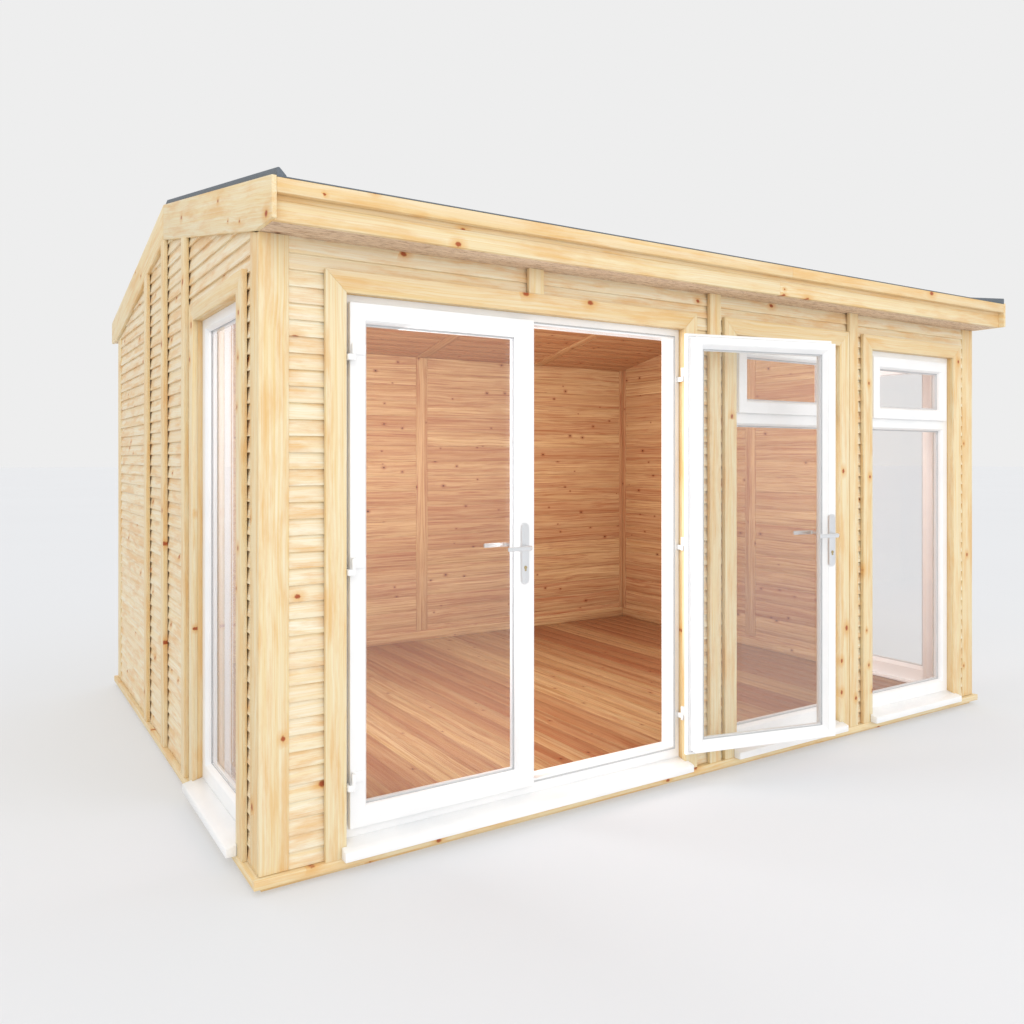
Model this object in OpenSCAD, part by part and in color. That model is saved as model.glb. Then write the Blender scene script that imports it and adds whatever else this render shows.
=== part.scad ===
// Timber garden office pod: a pitched-roof room on a boarded floor, with a pair of glazed
// doors that open outwards, two tall windows in the front wall and one in each end wall.
// Origin: centre of the walls' plan, on the ground. X runs along the front, Y to the back.
// "Face" below is the outside face of the corner boards.

/* [Walls] */
// Length of the front, over the corner boards
body_w = 4000; // [3900:10:6000]
// Depth from front to back, over the corner boards
body_d = 3000; // [2400:10:4200]
// Height of the walls from the floor panel to the soffit boards' upper side
wall_h = 2058; // [2040:1:2600]
// Thickness of the front and back wall panels, without cladding
wall_t = 74; // [44:1:140]
// Thickness of the end wall panels, without cladding
end_wall_t = 112; // [44:1:140]
// Depth kept outside the wall panels for the lapped cladding
clad_t = 18; // [12:1:30]

/* [Floor] */
// Height of the bearers on the ground
bearer_h = 21; // [15:1:100]
// Width of a bearer
bearer_w = 70; // [40:1:120]
// Widest spacing between cross bearers
bearer_step = 520; // [300:10:800]
// Distance of the bearers inside the wall face
bearer_inset = 10; // [0:1:60]
// Thickness of the floor panel
panel_t = 30; // [18:1:60]
// Distance that the floor panel stands out past the walls
panel_out = 20; // [0:1:40]
// Thickness of the floorboards
floor_t = 12; // [8:1:30]

/* [Roof] */
// Pitch of the roof in degrees
pitch = 11; // [6:0.5:25]
// Thickness of the roof panels, measured plumb
roof_t = 158; // [100:1:250]
// Distance from the wall face to the front of the eaves
eaves_out = 178; // [120:1:400]
// Distance that the bargeboards stand out past the end walls
barge_out = 12; // [8:1:60]
// Thickness of the bargeboards
barge_t = 16; // [12:1:30]
// Thickness of the fascia boards
fascia_t = 20; // [12:1:30]
// Height of the strip along the top of a fascia
cap_h = 46; // [30:1:80]
// Thickness of the strip along the top of a fascia
cap_t = 28; // [15:1:50]
// Thickness of the soffit boards
soffit_t = 18; // [9:1:25]
// Thickness of the roof membrane
membrane_t = 4; // [2:1:10]
// Width of the kerb along each gable
kerb_w = 30; // [20:1:60]
// Height of the kerb above the membrane
kerb_h = 25; // [10:1:50]

/* [Trim] */
// Width of the corner boards
corner_w = 98; // [60:1:140]
// Width of the battens over the cladding joints
batten_w = 66; // [40:1:100]
// Gap between the first window's surround and the batten beside it
batten_1_gap = 25; // [5:0.5:60]
// Gap between the second window's surround and the batten beside it
batten_2_gap = 42.5; // [5:0.5:60]
// Spacing of the battens on an end wall
side_batten_step = 450; // [300:10:700]
// Width of the surrounds of the doors and windows
surround_w = 72; // [40:1:75]
// Distance that battens and surrounds stand out past the wall face
trim_out = 18; // [8:1:40]
// Depth from the front of a surround to the face of the frame behind it
reveal_d = 38; // [20:1:60]
// Height of the skirting boards
skirting_h = 72; // [40:1:150]
// Thickness of the skirting boards and of the strips that cover the lining's joints
lining_trim_t = 12; // [6:1:25]
// Width of the strips that cover the lining's joints
strip_w = 90; // [40:1:120]

/* [Openings] */
// Width of wall from the left wall face to the door opening
pier_left = 286; // [180:1:600]
// Width of the door opening
door_w = 1514; // [1300:1:1800]
// Width of wall between the doors and the first window
pier_middle = 311; // [240:1:500]
// Width of each front window opening
window_w = 710; // [500:1:800]
// Width of wall between the two front windows
pier_windows = 256; // [220:1:500]
// Height of every opening above the floor panel
opening_h = 1873; // [1750:1:1950]
// Distance from the front wall face to a side window opening
side_window_y = 207; // [180:1:600]
// Width of a side window opening
side_window_w = 650; // [450:1:900]

/* [Frames] */
// Depth of the door and window frames
frame_d = 70; // [60:1:72]
// Clearance between a frame and its opening
frame_fit = 0.3; // [0.1:0.1:3]
// Face width of the door frame's jambs
door_jamb_w = 36; // [30:1:60]
// Face width of the door frame's head
door_head_w = 41; // [35:1:70]
// Height of the door frame's bottom member
door_cill_h = 99; // [85:1:130]
// Face width of a window frame's jambs
window_jamb_w = 50; // [40:1:80]
// Face width of a window frame's head
window_head_w = 45; // [40:1:80]
// Height of a window frame's bottom member
window_cill_h = 114; // [85:1:150]
// Height of the opening above a window's transom
vent_light_h = 285; // [160:1:450]
// Face width of a window's transom
transom_w = 70; // [50:1:100]
// Face width of a vent's sash
vent_w = 60; // [45:1:80]
// Distance that a vent's sash covers the frame around it
vent_lap = 15; // [8:1:25]
// Thickness of the sealed glazing units
glass_t = 24; // [14:1:28]
// Depth from a frame's face to its glass
glass_in = 24; // [15:1:30]
// Thickness of a sill at its front edge
sill_t = 30; // [20:1:40]
// Height of a sill at the frame, above the floor panel
sill_h = 50; // [40:1:80]
// Distance that a sill stands out past the wall face
sill_out = 55; // [35:1:90]
// Distance that a sill's front runs on past each side of the opening
sill_horn = 18; // [0:1:40]

/* [Doors] */
// Clearance around a closed door leaf
leaf_gap = 5; // [5:0.5:8]
// Distance that a leaf's flange covers the frame
leaf_lap = 19.5; // [12:0.5:25]
// Thickness of a leaf's flange
flange_t = 20; // [12:1:25]
// Thickness of a leaf
leaf_t = 70; // [50:1:74]
// Face width of a leaf's hinge stile, over the flange
hinge_stile_w = 64; // [55:1:110]
// Face width of a leaf's lock stile, over the flange
lock_stile_w = 76; // [66:1:120]
// Face width of a leaf's rails, over the flange
rail_w = 68; // [55:1:120]
// Width of the bar that closes the gap between the two leaves
astragal_w = 34; // [24:1:36]
// Angle of the open right leaf from its closed place
open_angle = 167; // [90:1:170]

/* [Door fittings] */
// Height of the lowest hinge above the floor panel
hinge_low = 240; // [180:5:400]
// Distance from the top of the opening down to the highest hinge
hinge_drop = 203; // [120:1:400]
// Radius of a hinge's barrel
barrel_r = 7; // [6:0.5:9]
// Radius of a hinge's pin
pin_r = 3; // [2:0.5:4]
// Clearance between a pin or spindle and its hole
pin_fit = 0.1; // [0.05:0.05:0.5]
// Height of the leaf's part of a hinge
flag_h = 36; // [20:1:60]
// Height of the frame's part of a hinge
tail_h = 20; // [12:1:40]
// Width of a hinge's plate on the leaf
flag_w = 48; // [30:1:55]
// Thickness of a hinge's plate
flag_t = 5; // [3:1:8]
// Distance from a leaf's face to the hinge axis
hinge_out = 21; // [16:1:30]
// Distance from the flange's edge to the hinge axis
hinge_in = 5.5; // [4:0.5:8]
// Height of the lever handles above the floor panel
handle_z = 990; // [850:1:1100]
// Distance from the lock stile's edge to the lever's axis
handle_in = 45; // [35:1:60]
// Width of a handle's backplate
plate_w = 33; // [25:1:50]
// Length of a handle's backplate
plate_h = 230; // [180:1:260]
// Thickness of a handle's backplate
plate_t = 9; // [4:1:14]
// Distance from the backplate's middle to the lever's axis
plate_drop = 24; // [0:1:60]
// Length of a lever from its axis
lever_l = 105; // [80:1:140]
// Height of a lever's bar
lever_h = 18; // [12:1:25]
// Thickness of a lever's bar
lever_t = 10; // [8:1:16]
// Distance from a leaf's face to the outer side of a lever
lever_out = 58; // [45:1:70]
// Radius of a lever's neck
neck_r = 9; // [7:0.5:12]
// Radius of the spindle that joins the two levers
spindle_r = 4; // [3:0.5:6]
// Gap between a moving part and the part that it turns on
knuckle_gap = 0.3; // [0.2:0.1:1]
// Gap between a hinge's arm and the edge of the doorway
arm_gap = 2; // [1:0.5:4]

/* [Hidden] */

$fn = 48;

// Distance that a cut runs past the faces it goes through
cut = 1;

pine = "#EBCF9F";
pine_inside = "#B87F52";
white_pvc = "#F6F6F5";
glass_tint = "#C9D6D6";
grey_felt = "#6F757C";
steel = "#B9BDC2";

// Heights
panel_z = bearer_h + panel_t;
floor_z = panel_z + floor_t;
wall_top = panel_z + wall_h;
soffit_z = wall_top - soffit_t;
opening_top = panel_z + opening_h;
transom_z = opening_h - window_head_w - vent_light_h - transom_w;
hinge_high = opening_h - hinge_drop;
hinge_zs = [hinge_low, (hinge_low + hinge_high) / 2, hinge_high];

// Plan: faces of the corner boards, wall panels and rooms
face_x = body_w / 2;
face_y = body_d / 2;
core_x = face_x - clad_t;
core_y = face_y - clad_t;
room_x = core_x - end_wall_t;
room_y = core_y - wall_t;
trim_t = clad_t + trim_out;
frame_in = reveal_d - trim_out;

// Roof slope
rise = tan(pitch);
ceiling_ridge_z = wall_top + room_y * rise;
roof_ridge_z = ceiling_ridge_z + roof_t;
eaves_y = face_y + eaves_out;
roof_end_x = face_x + barge_out - barge_t;
fascia_y = eaves_y - cap_t;

// Openings in the front wall: [left edge, right edge]
door_x = [-face_x + pier_left, -face_x + pier_left + door_w];
window_1_x = [door_x[1] + pier_middle, door_x[1] + pier_middle + window_w];
window_2_x = [window_1_x[1] + pier_windows, window_1_x[1] + pier_windows + window_w];
side_window_ys = [-face_y + side_window_y, -face_y + side_window_y + side_window_w];
door_mid_x = (door_x[0] + door_x[1]) / 2;

// Battens: on the door's centre line, then beside each front window
batten_xs = [
  door_mid_x,
  window_1_x[0] - surround_w - batten_1_gap - batten_w / 2,
  window_2_x[0] - surround_w - batten_2_gap - batten_w / 2
];
side_batten_ys = [-side_batten_step, 0, side_batten_step];
back_batten_xs = [-body_w / 4, 0, body_w / 4];
ceiling_strip_xs = [0, body_w / 4];

// Door leaves
leaf_w = (door_w - 2 * door_jamb_w + 2 * leaf_lap - leaf_gap) / 2;
leaf_z0 = panel_z + door_cill_h + leaf_gap - leaf_lap;
leaf_z1 = opening_top - door_head_w - leaf_gap + leaf_lap;
leaf_y = -face_y + frame_in - leaf_gap - flange_t;
leaf_edge_x = door_w / 2 - door_jamb_w + leaf_lap;
body_inset = leaf_lap + leaf_gap;
hinge_x = leaf_edge_x - hinge_in;
hinge_y = leaf_y - hinge_out;

// The reach of a cut that goes right through the span [low, high]
function past(span) = [span[0] - cut, span[1] + cut];

// A box between two corners
module slab(x, y, z) {
  translate([x[0], y[0], z[0]]) cube([x[1] - x[0], y[1] - y[0], z[1] - z[0]]);
}

// An outline in Y and Z, run along X
module along_x(x) {
  translate([x[0], 0, 0]) rotate([90, 0, 90]) linear_extrude(x[1] - x[0]) children();
}

// The same piece at both ends of the building, or at front and back
module both_ends() { children(); mirror([1, 0, 0]) children(); }
module both_sides() { children(); mirror([0, 1, 0]) children(); }

// A rectangular frame in a wall: outer and inner edges as [low, high]
module ring(x, z, inner_x, inner_z, y) {
  difference() {
    slab(x, y, z);
    slab(inner_x, past(y), inner_z);
  }
}

// Heights of the roof panels' two surfaces, at a distance y from the ridge line
function roof_z(y) = roof_ridge_z - abs(y) * rise;
function ceiling_z(y) = ceiling_ridge_z - abs(y) * rise;

// ---- Floor ----

module front_back_bearers() {
  color(pine) both_sides()
    slab([-face_x + bearer_inset, face_x - bearer_inset],
         [-face_y + bearer_inset, -face_y + bearer_inset + bearer_w], [0, bearer_h]);
}

module cross_bearers() {
  end_x = face_x - bearer_inset - bearer_w;
  bays = ceil(2 * end_x / bearer_step);
  reach = face_y - bearer_inset - bearer_w;
  color(pine) for (i = [0:bays])
    translate([-end_x - bearer_w + i * (2 * end_x + bearer_w) / bays, -reach, 0])
      cube([bearer_w, 2 * reach, bearer_h]);
}

module floor_panel() {
  color(pine) slab([-face_x - panel_out, face_x + panel_out],
                   [-face_y - panel_out, face_y + panel_out], [bearer_h, panel_z]);
}

module floorboards() {
  color(pine_inside) slab([-room_x, room_x], [-room_y, room_y], [panel_z, floor_z]);
}

// ---- Walls ----

module front_pier(x) {
  color(pine) slab(x, [-core_y, -room_y], [panel_z, opening_top]);
}

module front_wall_left() front_pier([-core_x, door_x[0]]);
module front_wall_middle() front_pier([door_x[1], window_1_x[0]]);
module front_wall_between_windows() front_pier([window_1_x[1], window_2_x[0]]);
module front_wall_right() front_pier([window_2_x[1], core_x]);

module front_wall_header() {
  color(pine) slab([-core_x, core_x], [-core_y, -room_y], [opening_top, wall_top]);
}

module back_wall() {
  color(pine) slab([-core_x, core_x], [room_y, core_y], [panel_z, wall_top]);
}

// End wall: a gable outline with the window cut through it
module end_wall() {
  color(pine) difference() {
    along_x([-core_x, -room_x]) polygon([
      [-room_y, panel_z], [room_y, panel_z], [room_y, wall_top],
      [0, ceiling_ridge_z], [-room_y, wall_top]
    ]);
    slab(past([-core_x, -room_x]), side_window_ys, [panel_z - cut, opening_top]);
  }
}

module left_wall() end_wall();
module right_wall() mirror([1, 0, 0]) end_wall();

// ---- Trim ----

module front_back_corner_boards() {
  color(pine) both_sides() both_ends()
    slab([-face_x, -face_x + corner_w], [-face_y, -core_y], [panel_z, soffit_z]);
}

// The board along the end wall butts against the back of the front one, and its top
// follows the slope
module side_corner_boards() {
  inner_y = face_y - corner_w;
  color(pine) both_sides() both_ends() along_x([-face_x, -core_x]) polygon([
    [-core_y, panel_z], [-inner_y, panel_z], [-inner_y, max(soffit_z, ceiling_z(inner_y))],
    [-core_y, soffit_z]
  ]);
}

module front_batten(x, z) {
  color(pine) slab([x - batten_w / 2, x + batten_w / 2],
                   [-core_y - trim_t, -core_y], [z, soffit_z]);
}

module front_battens() {
  front_batten(batten_xs[0], opening_top + surround_w);
  front_batten(batten_xs[1], panel_z);
  front_batten(batten_xs[2], panel_z);
}

// Battens on the gables run up to the underside of the roof panels
module side_battens() {
  color(pine) both_ends() for (y = side_batten_ys)
    slab([-core_x - trim_t, -core_x], [y - batten_w / 2, y + batten_w / 2],
         [panel_z, ceiling_z(abs(y) + batten_w / 2)]);
}

module back_battens() {
  color(pine) for (x = back_batten_xs)
    slab([x - batten_w / 2, x + batten_w / 2], [core_y, core_y + trim_t],
         [panel_z, soffit_z]);
}

// Surround of an opening in the front wall: two uprights and a head
module surround(x) {
  color(pine) difference() {
    slab([x[0] - surround_w, x[1] + surround_w], [-core_y - trim_t, -core_y],
         [panel_z, opening_top + surround_w]);
    slab(x, past([-core_y - trim_t, -core_y]), [panel_z - cut, opening_top]);
  }
}

// Turns a piece made for the front wall, at x from 0, onto the left end wall
module on_left_wall() {
  translate([-face_x, side_window_ys[1], 0]) rotate([0, 0, -90]) translate([0, face_y, 0])
    children();
}

module door_surround() surround(door_x);

module front_window_surrounds() {
  surround(window_1_x);
  surround(window_2_x);
}

module side_window_surrounds() {
  both_ends() on_left_wall() surround([0, side_window_w]);
}

// ---- Frames and sills ----

// Sill: it falls from the frame to a square front edge, with a horn past each jamb
module sill(x) {
  back_y = -face_y + frame_in;
  front_y = -face_y - sill_out;
  horn_y = -core_y - trim_t - frame_fit;
  color(white_pvc) intersection() {
    along_x([x[0] - sill_horn, x[1] + sill_horn]) polygon([
      [front_y, panel_z], [back_y, panel_z], [back_y, panel_z + sill_h],
      [front_y, panel_z + sill_t]
    ]);
    union() {
      slab([x[0] - sill_horn, x[1] + sill_horn], [front_y, horn_y],
           [panel_z, panel_z + sill_h]);
      slab([x[0] + frame_fit, x[1] - frame_fit], [front_y, back_y],
           [panel_z, panel_z + sill_h]);
    }
  }
}

function frame_ys() = [-face_y + frame_in, -face_y + frame_in + frame_d];
function glass_ys(y) = [y + glass_in, y + glass_in + glass_t];
function inside(x, d) = [x[0] + d, x[1] - d];

module door_frame() {
  color(white_pvc) ring(inside(door_x, frame_fit), [panel_z, opening_top - frame_fit],
       inside(door_x, door_jamb_w), [panel_z + door_cill_h, opening_top - door_head_w],
       frame_ys());
}

module door_sill() sill(door_x);

module front_window_sills() {
  sill(window_1_x);
  sill(window_2_x);
}

module side_window_sills() both_ends() on_left_wall() sill([0, side_window_w]);

// Front window frame: a fixed light below the transom and an opening above it
module window_frame(x) {
  inner_x = inside(x, window_jamb_w);
  y = frame_ys();
  color(white_pvc) difference() {
    slab(inside(x, frame_fit), y, [panel_z, opening_top - frame_fit]);
    slab(inner_x, past(y), [panel_z + window_cill_h, panel_z + transom_z]);
    slab(inner_x, past(y),
         [panel_z + transom_z + transom_w, opening_top - window_head_w]);
  }
}

module front_window_frames() {
  window_frame(window_1_x);
  window_frame(window_2_x);
}

// Vent: a flange over the frame's face and a body inside the frame
module vent(x) {
  open_x = inside(x, window_jamb_w);
  open_z = [panel_z + transom_z + transom_w, opening_top - window_head_w];
  glazed_x = inside(open_x, vent_w - vent_lap);
  glazed_z = inside(open_z, vent_w - vent_lap);
  y = frame_ys();
  color(white_pvc) {
    difference() {
      union() {
        slab(inside(open_x, -vent_lap), [y[0] - flange_t, y[0]], inside(open_z, -vent_lap));
        slab(inside(open_x, frame_fit), [y[0] - flange_t, y[1] - flange_t],
             inside(open_z, frame_fit));
      }
      slab(glazed_x, past([y[0] - flange_t, y[1]]), glazed_z);
    }
  }
}

module front_window_vents() {
  vent(window_1_x);
  vent(window_2_x);
}

module front_window_panes(x) {
  y = frame_ys();
  open_z = [panel_z + transom_z + transom_w, opening_top - window_head_w];
  color(glass_tint) {
    slab(inside(x, window_jamb_w), glass_ys(y[0]),
         [panel_z + window_cill_h, panel_z + transom_z]);
    slab(inside(x, window_jamb_w + vent_w - vent_lap), glass_ys(y[0] - flange_t),
         inside(open_z, vent_w - vent_lap));
  }
}

module front_window_glass() {
  front_window_panes(window_1_x);
  front_window_panes(window_2_x);
}

module side_window_frame() {
  ring([frame_fit, side_window_w - frame_fit], [panel_z, opening_top - frame_fit],
       [window_jamb_w, side_window_w - window_jamb_w],
       [panel_z + window_cill_h, opening_top - window_head_w], frame_ys());
}

module side_window_frames() {
  color(white_pvc) both_ends() on_left_wall() side_window_frame();
}

module side_window_glass() {
  color(glass_tint) both_ends() on_left_wall()
    slab([window_jamb_w, side_window_w - window_jamb_w], glass_ys(frame_ys()[0]),
         [panel_z + window_cill_h, opening_top - window_head_w]);
}

// ---- Doors ----
// A leaf is drawn as the right one, closed, with X counted from the middle of the doorway.

// Puts right-leaf pieces in the doorway, swung open
module right_leaf() {
  translate([door_mid_x + hinge_x, hinge_y, 0]) rotate([0, 0, open_angle])
    translate([-hinge_x, -hinge_y, 0]) children();
}

// Puts the same pieces on the left, closed
module left_leaf() { translate([door_mid_x, 0, 0]) mirror([1, 0, 0]) children(); }

leaf_x = [leaf_edge_x - leaf_w, leaf_edge_x];
glazed_leaf_x = [leaf_x[0] + lock_stile_w, leaf_x[1] - hinge_stile_w];
leaf_z = [leaf_z0, leaf_z1];
glazed_leaf_z = inside(leaf_z, rail_w);
lever_x = leaf_x[0] + handle_in;
lever_z = panel_z + handle_z;

// A round hole or rod along Y, through the leaf at the lever's axis
module along_y(r, y) {
  translate([lever_x, y[0], lever_z]) rotate([-90, 0, 0]) cylinder(r = r, h = y[1] - y[0]);
}

module leaf() {
  color(white_pvc) difference() {
    union() {
      slab(leaf_x, [leaf_y, leaf_y + flange_t], leaf_z);
      slab(inside(leaf_x, leaf_lap), [leaf_y, leaf_y + leaf_t], inside(leaf_z, leaf_lap));
    }
    slab(glazed_leaf_x, past([leaf_y, leaf_y + leaf_t]), glazed_leaf_z);
    along_y(spindle_r + pin_fit, past([leaf_y, leaf_y + leaf_t]));
  }
}

// Bar on the left leaf that closes the gap between the two bodies, behind the flanges
module astragal() {
  body_x = leaf_x[0] + leaf_lap;
  color(white_pvc)
    slab([body_x - astragal_w, body_x], [leaf_y + flange_t + leaf_gap, leaf_y + leaf_t],
         inside(leaf_z, leaf_lap));
}

module leaf_glass() {
  color(glass_tint) slab(glazed_leaf_x, glass_ys(leaf_y), glazed_leaf_z);
}

// Upper part of a hinge: a plate on the leaf, and a knuckle that turns on the pin
module leaf_hinges() {
  color(white_pvc) for (z = hinge_zs) translate([0, 0, panel_z + z]) difference() {
    union() {
      slab([hinge_x - flag_w, hinge_x], [leaf_y - flag_t, leaf_y], [0, flag_h]);
      slab([hinge_x - barrel_r, hinge_x], [hinge_y, leaf_y], [0, flag_h]);
      translate([hinge_x, hinge_y, 0]) cylinder(r = barrel_r, h = flag_h);
    }
    translate([hinge_x, hinge_y, -cut]) cylinder(r = pin_r + pin_fit, h = flag_h + 2 * cut);
  }
}

// Lower part of a hinge: an arm from the frame, a knuckle, and the pin standing in it
module frame_hinge_set() {
  arm_x = [leaf_edge_x + leaf_gap, door_w / 2 - arm_gap];
  color(white_pvc) for (z = hinge_zs) translate([0, 0, panel_z + z - knuckle_gap]) {
    slab(arm_x, [hinge_y - barrel_r / 2, -face_y + frame_in], [-tail_h, 0]);
    slab([hinge_x, arm_x[1]], [hinge_y - barrel_r / 2, hinge_y + barrel_r / 2],
         [-tail_h, 0]);
    translate([hinge_x, hinge_y, -tail_h]) cylinder(r = barrel_r, h = tail_h);
    translate([hinge_x, hinge_y, -tail_h]) cylinder(r = pin_r, h = tail_h + flag_h);
  }
}

module frame_hinges() {
  translate([door_mid_x, 0, 0]) both_ends() frame_hinge_set();
}

// Backplate with round ends, on a face of the leaf
module backplate(y) {
  end_z = plate_h / 2 - plate_w / 2;
  mid_z = lever_z - plate_drop;
  color(steel) difference() {
    translate([lever_x, y[0], 0]) rotate([-90, 0, 0]) linear_extrude(y[1] - y[0]) union() {
      translate([-plate_w / 2, -mid_z - end_z]) square([plate_w, 2 * end_z]);
      for (s = [-1, 1]) translate([0, -mid_z + s * end_z]) circle(r = plate_w / 2);
    }
    along_y(spindle_r + pin_fit, past(y));
  }
}

module backplates() {
  backplate([leaf_y - plate_t, leaf_y]);
  backplate([leaf_y + leaf_t, leaf_y + leaf_t + plate_t]);
}

// One lever on each face, joined by the spindle
module levers() {
  outer_y = [leaf_y - lever_out, leaf_y + leaf_t + lever_out];
  color(steel) {
    along_y(spindle_r, outer_y);
    along_y(neck_r, [outer_y[0], leaf_y - plate_t - knuckle_gap]);
    along_y(neck_r, [leaf_y + leaf_t + plate_t + knuckle_gap, outer_y[1]]);
    for (y = [outer_y[0], outer_y[1] - lever_t])
      slab([lever_x, lever_x + lever_l], [y, y + lever_t],
           [lever_z - lever_h / 2, lever_z + lever_h / 2]);
  }
}

module left_door_leaf() left_leaf() union() { leaf(); astragal(); }
module left_door_glass() left_leaf() leaf_glass();
module left_door_hinges() left_leaf() leaf_hinges();
module left_door_backplates() left_leaf() backplates();
module left_door_levers() left_leaf() levers();

module right_door_leaf() right_leaf() leaf();
module right_door_glass() right_leaf() leaf_glass();
module right_door_hinges() right_leaf() leaf_hinges();
module right_door_backplates() right_leaf() backplates();
module right_door_levers() right_leaf() levers();

// ---- Roof ----

module fascia_boards() {
  color(pine) both_sides() along_x([-roof_end_x, roof_end_x]) polygon([
    [-fascia_y, soffit_z], [-fascia_y + fascia_t, soffit_z],
    [-fascia_y + fascia_t, roof_z(fascia_y - fascia_t)], [-fascia_y, roof_z(fascia_y)]
  ]);
}

module fascia_cap_strips() {
  color(pine) both_sides() along_x([-roof_end_x, roof_end_x]) polygon([
    [-eaves_y, roof_z(eaves_y) - cap_h], [-fascia_y, roof_z(eaves_y) - cap_h],
    [-fascia_y, roof_z(fascia_y)], [-eaves_y, roof_z(eaves_y)]
  ]);
}

module soffit_boards() {
  color(pine) both_sides()
    slab([-roof_end_x, roof_end_x], [-fascia_y + fascia_t, -core_y], [soffit_z, wall_top]);
}

// Bargeboards: one pair on each gable, meeting at the ridge, with tips cut plumb and
// level with the soffit
module bargeboards() {
  top = membrane_t;
  turn_y = (ceiling_ridge_z - soffit_z) / rise;
  color(pine) both_ends() along_x([-roof_end_x - barge_t, -roof_end_x]) polygon([
    [-eaves_y, soffit_z], [-turn_y, soffit_z], [0, ceiling_ridge_z], [turn_y, soffit_z],
    [eaves_y, soffit_z], [eaves_y, roof_z(eaves_y) + top], [0, roof_z(0) + top],
    [-eaves_y, roof_z(eaves_y) + top]
  ]);
}

module roof_panel_shape() {
  back = -fascia_y + fascia_t;
  along_x([-roof_end_x, roof_end_x]) polygon([
    [back, wall_top], [-room_y, wall_top], [0, ceiling_ridge_z], [0, roof_ridge_z],
    [back, roof_z(back)]
  ]);
}

module front_roof_panel() color(pine_inside) roof_panel_shape();
module back_roof_panel() color(pine_inside) mirror([0, 1, 0]) roof_panel_shape();

module roof_membrane() {
  color(grey_felt) along_x([-roof_end_x, roof_end_x]) polygon([
    [-eaves_y, roof_z(eaves_y)], [0, roof_z(0)], [eaves_y, roof_z(eaves_y)],
    [eaves_y, roof_z(eaves_y) + membrane_t], [0, roof_z(0) + membrane_t],
    [-eaves_y, roof_z(eaves_y) + membrane_t]
  ]);
}

module verge_kerbs() {
  low = membrane_t;
  color(grey_felt) both_ends() along_x([-roof_end_x, -roof_end_x + kerb_w]) polygon([
    [-eaves_y, roof_z(eaves_y) + low], [0, roof_z(0) + low], [eaves_y, roof_z(eaves_y) + low],
    [eaves_y, roof_z(eaves_y) + low + kerb_h], [0, roof_z(0) + low + kerb_h],
    [-eaves_y, roof_z(eaves_y) + low + kerb_h]
  ]);
}

// ---- Inside ----

// The boards along the ends stop just short of those at front and back
module skirting_boards() {
  z = [floor_z, floor_z + skirting_h];
  end_gap = 1;
  color(pine_inside) {
    slab([-room_x, room_x], [room_y - lining_trim_t, room_y], z);
    both_ends() slab([-room_x, -room_x + lining_trim_t],
                     [side_window_ys[1], room_y - lining_trim_t - end_gap], z);
    slab([-room_x, door_x[0]], [-room_y, -room_y + lining_trim_t], z);
    slab([door_x[1], window_1_x[0]], [-room_y, -room_y + lining_trim_t], z);
    slab([window_1_x[1], window_2_x[0]], [-room_y, -room_y + lining_trim_t], z);
    slab([window_2_x[1], room_x], [-room_y, -room_y + lining_trim_t], z);
  }
}

module wall_cover_strips() {
  z0 = floor_z + skirting_h;
  color(pine_inside) {
    slab([-strip_w / 2, strip_w / 2], [room_y - lining_trim_t, room_y], [z0, wall_top]);
    both_ends() slab([-room_x, -room_x + lining_trim_t],
                     [-strip_w / 2, strip_w / 2], [z0, ceiling_ridge_z - strip_w / 2 * rise]);
  }
}

module ceiling_cover_strips() {
  foot = room_y - lining_trim_t;
  gap = strip_w / 2;
  color(pine_inside) both_sides() for (x = ceiling_strip_xs)
    along_x([x - strip_w / 2, x + strip_w / 2]) polygon([
      [-foot, wall_top + lining_trim_t * rise], [-gap, ceiling_ridge_z - gap * rise],
      [-gap, ceiling_ridge_z - gap * rise - lining_trim_t],
      [-foot, wall_top + lining_trim_t * rise - lining_trim_t]
    ]);
}

front_back_bearers();
cross_bearers();
floor_panel();
floorboards();
front_wall_left();
front_wall_middle();
front_wall_between_windows();
front_wall_right();
front_wall_header();
left_wall();
right_wall();
back_wall();
front_back_corner_boards();
side_corner_boards();
front_battens();
side_battens();
back_battens();
door_surround();
front_window_surrounds();
side_window_surrounds();
door_frame();
door_sill();
frame_hinges();
left_door_leaf();
left_door_glass();
left_door_hinges();
left_door_backplates();
left_door_levers();
right_door_leaf();
right_door_glass();
right_door_hinges();
right_door_backplates();
right_door_levers();
front_window_frames();
front_window_vents();
front_window_glass();
front_window_sills();
side_window_frames();
side_window_glass();
side_window_sills();
fascia_boards();
fascia_cap_strips();
soffit_boards();
bargeboards();
front_roof_panel();
back_roof_panel();
roof_membrane();
verge_kerbs();
skirting_boards();
wall_cover_strips();
ceiling_cover_strips();
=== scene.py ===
import math
import random

import bmesh
import bpy
from mathutils import Matrix, Vector


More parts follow.
